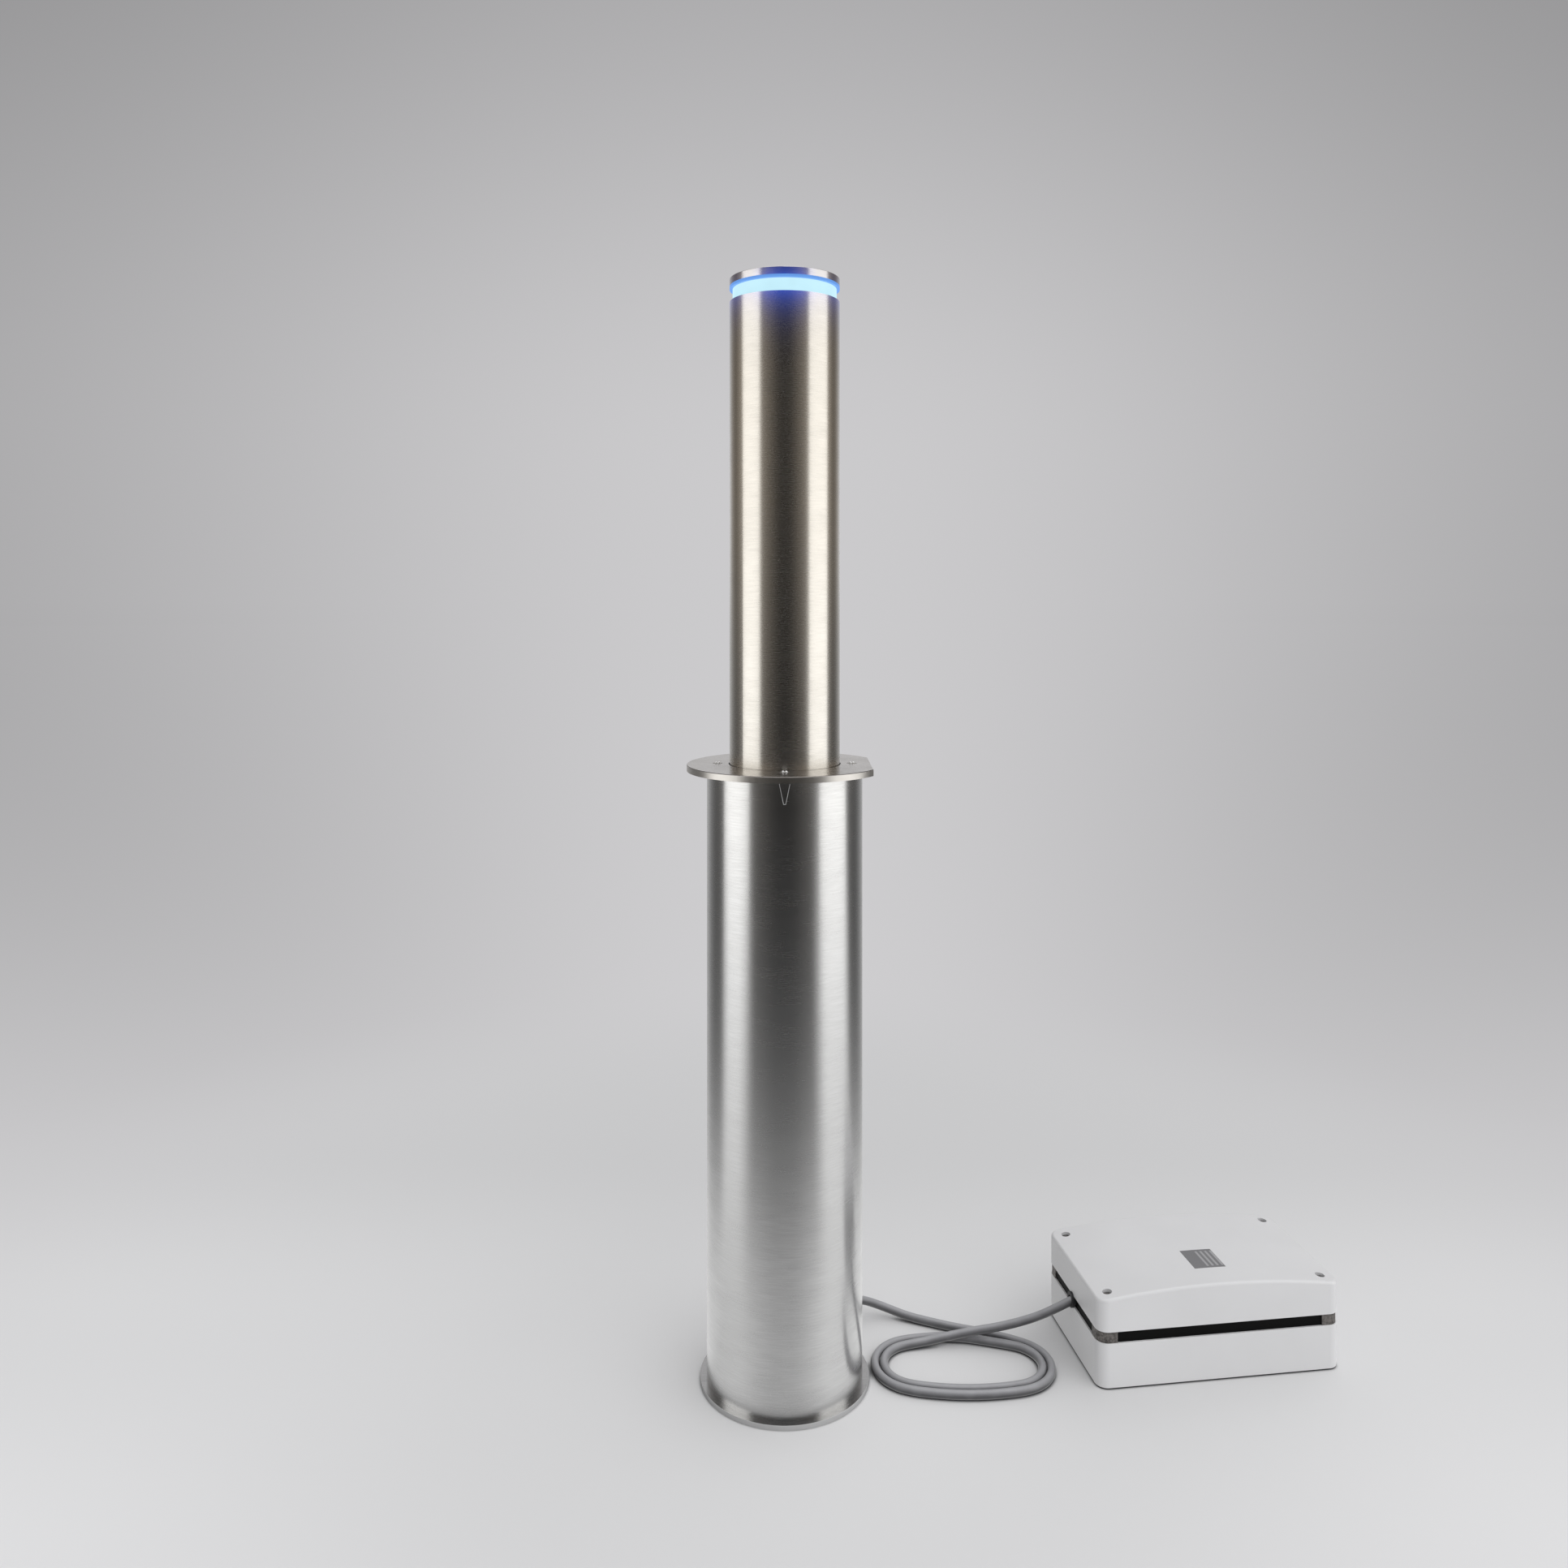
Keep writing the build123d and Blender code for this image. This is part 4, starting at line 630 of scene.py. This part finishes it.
# The coil is an oval of two end arcs and two side arcs. Progress along it counts four a turn.
COIL_CENTRE = (0.188, 0.0125)
COIL_END_X = 0.0478
COIL_END_R = 0.0360
COIL_SIDE_R = 0.2294
COIL_PITCH = 0.0095
COIL_FIRST = 0.10
COIL_LAST = 7.0
CROSS_START = 3.31
CROSS_END = 4.0
ARC_STEPS = 8


def gland_point(radius, height):
    """A point straight out from the gland."""
    return (radius * math.cos(GLAND_ANGLE), radius * math.sin(GLAND_ANGLE), height)


lead_in = [
    gland_point(GLAND_FACE, GLAND_Z),
    gland_point(GLAND_RUN, GLAND_Z),
    (0.0860, 0.1080, 0.0210),
    (0.1110, 0.1100, 0.0115),
    (0.1365, 0.1015, 0.0055),
    (0.1630, 0.0910, CABLE_R),
    (0.1900, 0.0800, CABLE_R),
    (0.2140, 0.0725, CABLE_R),
    (0.2360, 0.0635, CABLE_R),
]
lead_out = [
    (0.1500, 0.0505, 0.0060),
    (0.1680, 0.0530, 0.0085),
    (0.1880, 0.0545, 0.0120),
    (0.2090, 0.0545, 0.0160),
    (0.2310, 0.0530, 0.0205),
    (0.2520, 0.0510, 0.0265),
    (0.2720, 0.0485, 0.0340),
    (0.2910, 0.0470, 0.0430),
    (0.3135, 0.0496, 0.05275),
]


def coil_point(progress):
    """A point of the coil: from the right end by the front, the left end and the back."""
    drop = math.sqrt((COIL_SIDE_R - COIL_END_R) ** 2 - COIL_END_X ** 2)
    join = math.degrees(math.atan2(drop, COIL_END_X))
    arcs = [
        (COIL_END_X, 0.0, COIL_END_R, join, -join),
        (0.0, drop, COIL_SIDE_R, -join, join - 180.0),
        (-COIL_END_X, 0.0, COIL_END_R, join - 180.0, -180.0 - join),
        (0.0, -drop, COIL_SIDE_R, -180.0 - join, join - 360.0),
    ]
    x, y, radius, first, last = arcs[int(progress) % 4]
    angle = math.radians(first + (last - first) * (progress % 1.0))
    step = min(max((progress - CROSS_START) / (CROSS_END - CROSS_START), 0.0), 1.0)
    inward = step * step * (3.0 - 2.0 * step)
    reach = radius + COIL_PITCH * (1.0 - inward)
    return (COIL_CENTRE[0] + x + reach * math.cos(angle),
            COIL_CENTRE[1] + y + reach * math.sin(angle),
            CABLE_R)


def coil_points():
    """The two turns on the floor, clockwise from above: the outer oval, then the inner one."""
    span = COIL_LAST - COIL_FIRST
    count = round(span * ARC_STEPS)
    return [coil_point(COIL_FIRST + span * index / count) for index in range(count + 1)]


def add_cable():
    """The cable as a single round curve."""
    route = lead_in + coil_points() + lead_out
    data = bpy.data.curves.new("cable", "CURVE")
    data.dimensions = "3D"
    data.bevel_depth = CABLE_R
    data.bevel_resolution = BEVEL_STEPS
    data.use_fill_caps = True
    spline = data.splines.new("NURBS")
    spline.points.add(len(route) - 1)
    for target, place in zip(spline.points, route):
        target.co = (*place, 1)
    spline.order_u = CURVE_ORDER
    spline.use_endpoint_u = True
    spline.resolution_u = CURVE_STEPS
    data.materials.append(cable_grey)
    cable = add_object("cable", data)
    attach(cable, "casing")
    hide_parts("cable_lead_in", "cable_coil", "cable_lead_out")
    return cable, route


cable, cable_route = add_cable()


# Security screws: two domed pins stand in each head

SCREW_HEAD_R = 0.0048
PIN_R = 0.00135
PIN_HIGH = 0.0019
PIN_HALF = 0.0016
PIN_SIDES = 12
PIN_RINGS = 4


def tube_faces(start, rings, sides):
    """The quads between rings of points that follow each other."""
    faces = []
    for ring in range(rings - 1):
        for side in range(sides):
            a = start + ring * sides + side
            b = start + ring * sides + (side + 1) % sides
            faces.append((a, b, b + sides, a + sides))
    return faces


def add_dome(verts, faces, x, y):
    """A domed pin that stands on the flange."""
    start = len(verts)
    for ring in range(PIN_RINGS):
        rise = 0.5 * math.pi * ring / PIN_RINGS
        for side in range(PIN_SIDES):
            turn = 2 * math.pi * side / PIN_SIDES
            verts.append((x + PIN_R * math.cos(rise) * math.cos(turn),
                          y + PIN_R * math.cos(rise) * math.sin(turn),
                          flange_high + PIN_HIGH * math.sin(rise)))
    verts.append((x, y, flange_high + PIN_HIGH))
    faces.append(tuple(start + side for side in reversed(range(PIN_SIDES))))
    faces.extend(tube_faces(start, PIN_RINGS, PIN_SIDES))
    last = start + (PIN_RINGS - 1) * PIN_SIDES
    for side in range(PIN_SIDES):
        faces.append((last + side, last + (side + 1) % PIN_SIDES, len(verts) - 1))


def add_pins():
    """The pins of the four screws, in one mesh."""
    screw_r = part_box("flange_screws")[1].x - SCREW_HEAD_R
    verts, faces = [], []
    for x, y in ((screw_r, 0), (0, screw_r), (-screw_r, 0), (0, -screw_r)):
        for shift in (-PIN_HALF, PIN_HALF):
            add_dome(verts, faces, x + shift, y)
    pins = add_object("screw_pins", mesh_data("screw_pins", verts, faces, pin_painted_glint))
    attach(pins, "casing")


add_pins()


# Coiled lead to the light: a fixed helix of wire; the real lead folds up as the column goes down

LEAD_WIRE_R = 0.0015
LEAD_PITCH = 0.0065
LEAD_STEPS = 12
LEAD_SIDES = 8


def add_coiled_lead():
    """A helix of round wire in the room of the plain rod."""
    middle = (lead_low + lead_high) / 2
    radius = (lead_high.x - lead_low.x) / 2 - LEAD_WIRE_R
    low = lead_low.z + LEAD_WIRE_R
    turns = (lead_high.z - lead_low.z - 2 * LEAD_WIRE_R) / LEAD_PITCH
    count = int(turns * LEAD_STEPS)
    verts = []
    for index in range(count + 1):
        angle = 2 * math.pi * index / LEAD_STEPS
        out = Vector((math.cos(angle), math.sin(angle), 0.0))
        centre = Vector((middle.x, middle.y, low + LEAD_PITCH * index / LEAD_STEPS)) + radius * out
        along = Vector((-out.y, out.x, LEAD_PITCH / (2 * math.pi * radius))).normalized()
        up = out.cross(along)
        for side in range(LEAD_SIDES):
            turn = 2 * math.pi * side / LEAD_SIDES
            verts.append(centre + LEAD_WIRE_R * (math.cos(turn) * out + math.sin(turn) * up))
    last = count * LEAD_SIDES
    faces = tube_faces(0, count + 1, LEAD_SIDES)
    faces.append(tuple(range(LEAD_SIDES)))
    faces.append(tuple(last + side for side in reversed(range(LEAD_SIDES))))
    wire = add_object("coiled_wire", mesh_data("coiled_wire", verts, faces, lead_black))
    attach(wire, "casing")
    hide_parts("coiled_lead")
    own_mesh(wire)


add_coiled_lead()


# Floor and background. A step is: from, to, and the value at each of the two. It runs over
# metres from the axis, metres forward or back, degrees from the front, or a direction's height.

BACKDROP_LEVEL = 0.487
BACKDROP_WAVE = 0.112
BACKDROP_WAVES = 4.0
BACKDROP_TINT = (1.0, 0.99, 1.01)
BACKDROP_FALL = (0.10, 0.60, 1.0, 0.60)

# The floor near the object, with painted light and shade: a contact shadow, and its tone lighter in
# front, close by and on the left, darker behind
FLOOR_CORNERS = [(-400, -300, 0), (400, -300, 0), (0, 500, 0)]
FLOOR_ALBEDO = 0.725
FLOOR_BLUE = 1.005
FLOOR_ROUGH = 0.9
CONTACT_REACH = 0.006
CONTACT_SAMPLES = 8
CONTACT_SPAN = (0.30, 0.72)
CONTACT_SHADOW_COLOR = (0.10, 0.10, 0.105)
FRONT_LIFT = (-0.25, 0.05, 0.055, 0.0)
FRONT_START = (0.30, 0.75, 0.0, 1.0)
BEHIND_FALL = (0.12, 0.55, 0.0, -0.085)
CLOSE_LIFT = (0.10, 0.34, 0.035, 0.0)
RIGHT_LIFT = -0.018

# The floor far off, as the camera sees it
FLOOR_LEVEL = 0.63
MELT_START = 0.60
MELT_HALF = 1.3
MELT_POWER = 1.2
HORIZON_MELT = (8.0, 45.0, 0.0, 1.0)
HAND_OVER = (0.75, 1.40, 0.0, 1.0)

# The floor as the steel mirrors it: how its edges turn on the right, and its tones
INNER_TURN = 3.5
INNER_BACK = 1.0
OUTER_TURN = 3.0
BRIGHT_RISE = (0.9, 2.1, 0.95, 1.40)
BRIGHT_END = (2.25, 2.6, 0.0, 1.0)
FAR_LIFT = (4.0, 9.0, 0.0, 0.028)
NEAR_FRONT = (5.0, 52.0, 0.55, 0.77)
NEAR_REAR = (85.0, 108.0, 0.0, 0.10)
NEAR_RIGHT = 0.09
NEAR_LEVEL = 1.03
BASE_SHADE = 0.03
BASE_SHADE_REACH = 0.018
NEAR_HALF = 0.54
NEAR_POWER = 3.2

# The studio as a level mirror sees it
STUDIO_FRONT = (5.0, 55.0, 0.010, 0.080)
STUDIO_SIDE_IN = (38.0, 66.0, 0.0, 1.0)
STUDIO_SIDE_OUT = (88.0, 109.0, 1.0, 0.0)
STUDIO_REAR = (118.0, 170.0, 0.0, 0.42)
STUDIO_REAR_LEVEL = 0.09
STUDIO_TURN = (80.0, 110.0, 0.0, 1.0)


class World(Shader):
    """The world's node tree, with the same short ways to add nodes."""

    def __init__(self, name):
        self.world = bpy.data.worlds.new(name)
        self.world.use_nodes = True
        self.tree = self.world.node_tree
        self.tree.nodes.clear()


def front_angle(shader, x, y):
    """The angle in degrees from the front, the same on the left and on the right."""
    turn = shader.math("ARCTAN2", shader.absolute(x), shader.mul(y, -1.0))
    return shader.mul(turn, 180.0 / math.pi)


def backdrop_level(shader, x, y):
    """The backdrop's tone by direction: paler to the front, the back and the sides."""
    wave = shader.math("COSINE", shader.mul(shader.math("ARCTAN2", x, y), BACKDROP_WAVES))
    return shader.add(shader.mul(wave, BACKDROP_WAVE), BACKDROP_LEVEL)


def studio_level(shader, inner, outer, bright):
    """What a level mirror sees by direction: dark in front, bright at the sides, grey behind."""
    ramp = shader.smooth(inner, *STUDIO_FRONT)
    side = shader.mul(shader.smooth(inner, *STUDIO_SIDE_IN), shader.smooth(outer, *STUDIO_SIDE_OUT))
    rear = shader.add(shader.smooth(outer, *STUDIO_REAR), STUDIO_REAR_LEVEL)
    base = shader.blend(shader.smooth(outer, *STUDIO_TURN), ramp, rear)
    return shader.blend(side, base, bright)


def floor_color(shader, y, reach, rightness):
    """The paper near the object, with a painted contact shadow where something touches it, and its
    tone painted lighter in front, close by and on the left, and darker behind.
    """
    # Painted contact shadow, from occlusion close by
    occlusion = shader.node("ShaderNodeAmbientOcclusion", samples=CONTACT_SAMPLES)
    occlusion.inputs["Distance"].default_value = CONTACT_REACH
    contact_shadow = shader.range(occlusion.outputs["AO"], *CONTACT_SPAN)
    # Painted light and shade on the paper: lighter in front, darker behind, lighter close by,
    # darker on the right
    front = shader.mul(shader.smooth(y, *FRONT_LIFT), shader.smooth(reach, *FRONT_START))
    tone = shader.add(front, shader.smooth(y, *BEHIND_FALL))
    tone = shader.add(tone, shader.smooth(reach, *CLOSE_LIFT))
    tone = shader.add(tone, shader.mul(rightness, RIGHT_LIFT))
    tone = shader.add(tone, FLOOR_ALBEDO)
    return shader.mix(contact_shadow, CONTACT_SHADOW_COLOR, shader.tint(tone))


def floor_seen(shader, x, y, reach):
    """What the camera sees: the paper near the object, which melts into the backdrop."""
    away = shader.math("MAXIMUM", shader.sub(reach, MELT_START), 0.0)
    spread = shader.math("POWER", shader.div(away, MELT_HALF), MELT_POWER)
    melt = shader.div(spread, shader.add(spread, 1.0))
    melt = shader.math("MAXIMUM", melt, shader.smooth(reach, *HORIZON_MELT))
    level = shader.blend(melt, FLOOR_LEVEL, backdrop_level(shader, x, y))
    seen = shader.emission(shader.tint(level, BACKDROP_TINT))
    return shader.choose(shader.smooth(reach, *HAND_OVER), shader.bsdf.outputs[0], seen)


def floor_mirrored(shader, x, y, reach, rightness):
    """What the steel mirrors: an even floor near the object, and the studio further out."""
    turn = front_angle(shader, x, y)
    inner = shader.add(turn, shader.sub(shader.mul(rightness, INNER_TURN), INNER_BACK))
    outer = shader.sub(turn, shader.mul(rightness, OUTER_TURN))
    bright = shader.sub(shader.smooth(reach, *BRIGHT_RISE), shader.smooth(reach, *BRIGHT_END))
    far = studio_level(shader, inner, outer, bright)
    far = shader.add(far, shader.smooth(reach, *FAR_LIFT))
    near = shader.add(shader.smooth(inner, *NEAR_FRONT), shader.smooth(outer, *NEAR_REAR))
    near = shader.mul(near, shader.add(shader.mul(rightness, NEAR_RIGHT), NEAR_LEVEL))
    near = shader.mul(near, shader.smooth(reach, base_r, base_r + BASE_SHADE_REACH, BASE_SHADE))
    spread = shader.math("POWER", shader.div(shader.sub(reach, casing_r), NEAR_HALF), NEAR_POWER)
    share = shader.div(1.0, shader.add(spread, 1.0))
    return shader.emission(shader.tint(shader.blend(share, far, near)))


def add_floor():
    """A wide pale floor: it takes shadows near the object and is the backdrop far off."""
    data = bpy.data.meshes.new("floor")
    data.from_pydata(FLOOR_CORNERS, [], [(0, 1, 2)])
    floor = add_object("floor", data)
    shader = Shader("floor_paper", (FLOOR_ALBEDO, FLOOR_ALBEDO, FLOOR_ALBEDO * FLOOR_BLUE),
                    FLOOR_ROUGH)
    shader.set("Specular IOR Level", 0.0)
    x, y, _ = shader.split(shader.point())
    reach = shader.axis_reach(x, y)
    rightness = shader.div(x, reach)
    shader.wire("Base Color", floor_color(shader, y, reach, rightness))
    rays = shader.node("ShaderNodeLightPath")
    surface = shader.choose(rays.outputs["Is Glossy Ray"], shader.bsdf.outputs[0],
                            floor_mirrored(shader, x, y, reach, rightness))
    surface = shader.choose(rays.outputs["Is Camera Ray"], surface,
                            floor_seen(shader, x, y, reach))
    shader.link(surface, shader.tree.nodes["Material Output"].inputs["Surface"])
    shader.material.cycles.emission_sampling = "NONE"
    data.materials.append(shader.material)


# World: fill light by direction, and the studio that the steel mirrors

FILL_LEVEL = 0.80
FILL_RIGHT = 0.56
FILL_FRONT = 0.14
FILL_ABOVE = 0.13
FILL_TINT = (0.995, 0.995, 1.01)
AHEAD_RISE = (4.0, 55.0, 0.055, 0.40)
AHEAD_FALL = (0.15, 0.45, 1.0, 0.04)
BEHIND_RISE = (120.0, 172.0, 0.20, 0.78)
BEHIND_DIM = (0.02, 0.30, 1.0, 0.64)
BEHIND_TURN = (100.0, 124.0, 0.0, 1.0)
ZENITH_LIFT = (0.70, 0.96, 0.0, 2.0)
WARM_TINT = (1.0, 0.86, 0.70)
NEUTRAL_TINT = (1.0, 0.99, 1.0)
NEUTRAL_REAR = (120.0, 160.0, 0.0, 1.0)
NEUTRAL_HIGH = (0.25, 0.60, 0.0, 1.0)


def add_world():
    """A grey backdrop for the camera, soft light for dull surfaces, and a studio for the steel."""
    world = World("studio")
    bpy.context.scene.world = world.world
    world.world.cycles.sampling_method = "NONE"
    x, y, z = world.split(world.node("ShaderNodeTexCoord").outputs["Generated"])
    height = world.smooth(z, *BACKDROP_FALL)
    backdrop = world.tint(world.mul(backdrop_level(world, x, y), height), BACKDROP_TINT)
    # Light for dull surfaces: a little more from the right, the front and above
    fill = world.add(world.mul(x, FILL_RIGHT), world.mul(y, -FILL_FRONT))
    fill = world.add(fill, world.add(world.mul(z, FILL_ABOVE), FILL_LEVEL))
    fill = world.tint(fill, FILL_TINT)
    # Studio in the steel: warm and dim in front, neutral behind and above
    turn = front_angle(world, x, y)
    ahead = world.mul(world.smooth(turn, *AHEAD_RISE), world.smooth(z, *AHEAD_FALL))
    behind = world.mul(world.smooth(turn, *BEHIND_RISE), world.smooth(z, *BEHIND_DIM))
    level = world.blend(world.smooth(turn, *BEHIND_TURN), ahead, behind)
    level = world.add(level, world.smooth(z, *ZENITH_LIFT))
    plain = world.math("MAXIMUM", world.smooth(turn, *NEUTRAL_REAR),
                       world.smooth(z, *NEUTRAL_HIGH))
    steel = world.mix(plain, world.tint(level, WARM_TINT), world.tint(level, NEUTRAL_TINT))
    rays = world.node("ShaderNodeLightPath")
    color = world.mix(rays.outputs["Is Glossy Ray"], fill, steel)
    color = world.mix(rays.outputs["Is Camera Ray"], color, backdrop)
    background = world.node("ShaderNodeBackground")
    world.link(color, background.inputs["Color"])
    output = world.node("ShaderNodeOutputWorld")
    world.link(background.outputs[0], output.inputs["Surface"])


# Lamps

SOFTBOXES = (("left_box", -74.4, 1.93), ("right_box", 75.0, 2.07))
SOFTBOX_AWAY = 2.3
SOFTBOX_MIDDLE = 1.22
SOFTBOX_HIGH = 2.3
SOFTBOX_TONE = 1.25
SOFTBOX_COLOR = (1.0, 0.995, 0.97)
KEY_PLACE = (1.75, -1.95, 2.65)
KEY_AIM = (0.15, 0, 0.1)
KEY_SIDE = 3.4
KEY_TONE = 0.45


def add_softbox(name, place, aim, size, tone, color=(1, 1, 1), mirrored=True):
    """A rectangular soft light, for polished surfaces or for dull ones.

    A tone of 1 mirrors as white.
    """
    data = bpy.data.lights.new(name, "AREA")
    data.shape = "RECTANGLE"
    data.size, data.size_y = size
    data.energy = tone * math.pi * size[0] * size[1]
    data.color = color
    light = add_object(name, data)
    light.location = place
    direction = Vector(aim) - Vector(place)
    light.rotation_euler = direction.to_track_quat("-Z", "Y").to_euler()
    light.visible_camera = False
    light.visible_glossy = mirrored
    light.visible_diffuse = not mirrored


def add_lights():
    """Two tall softboxes that the steel mirrors, and a wide soft light from the front right."""
    for name, bearing, width in SOFTBOXES:
        angle = math.radians(bearing)
        place = (SOFTBOX_AWAY * math.sin(angle), -SOFTBOX_AWAY * math.cos(angle), SOFTBOX_MIDDLE)
        add_softbox(name, place, (0, 0, SOFTBOX_MIDDLE), (width, SOFTBOX_HIGH), SOFTBOX_TONE,
                    SOFTBOX_COLOR)
    add_softbox("key_box", KEY_PLACE, KEY_AIM, (KEY_SIDE, KEY_SIDE), KEY_TONE, mirrored=False)


add_floor()
add_world()
add_lights()
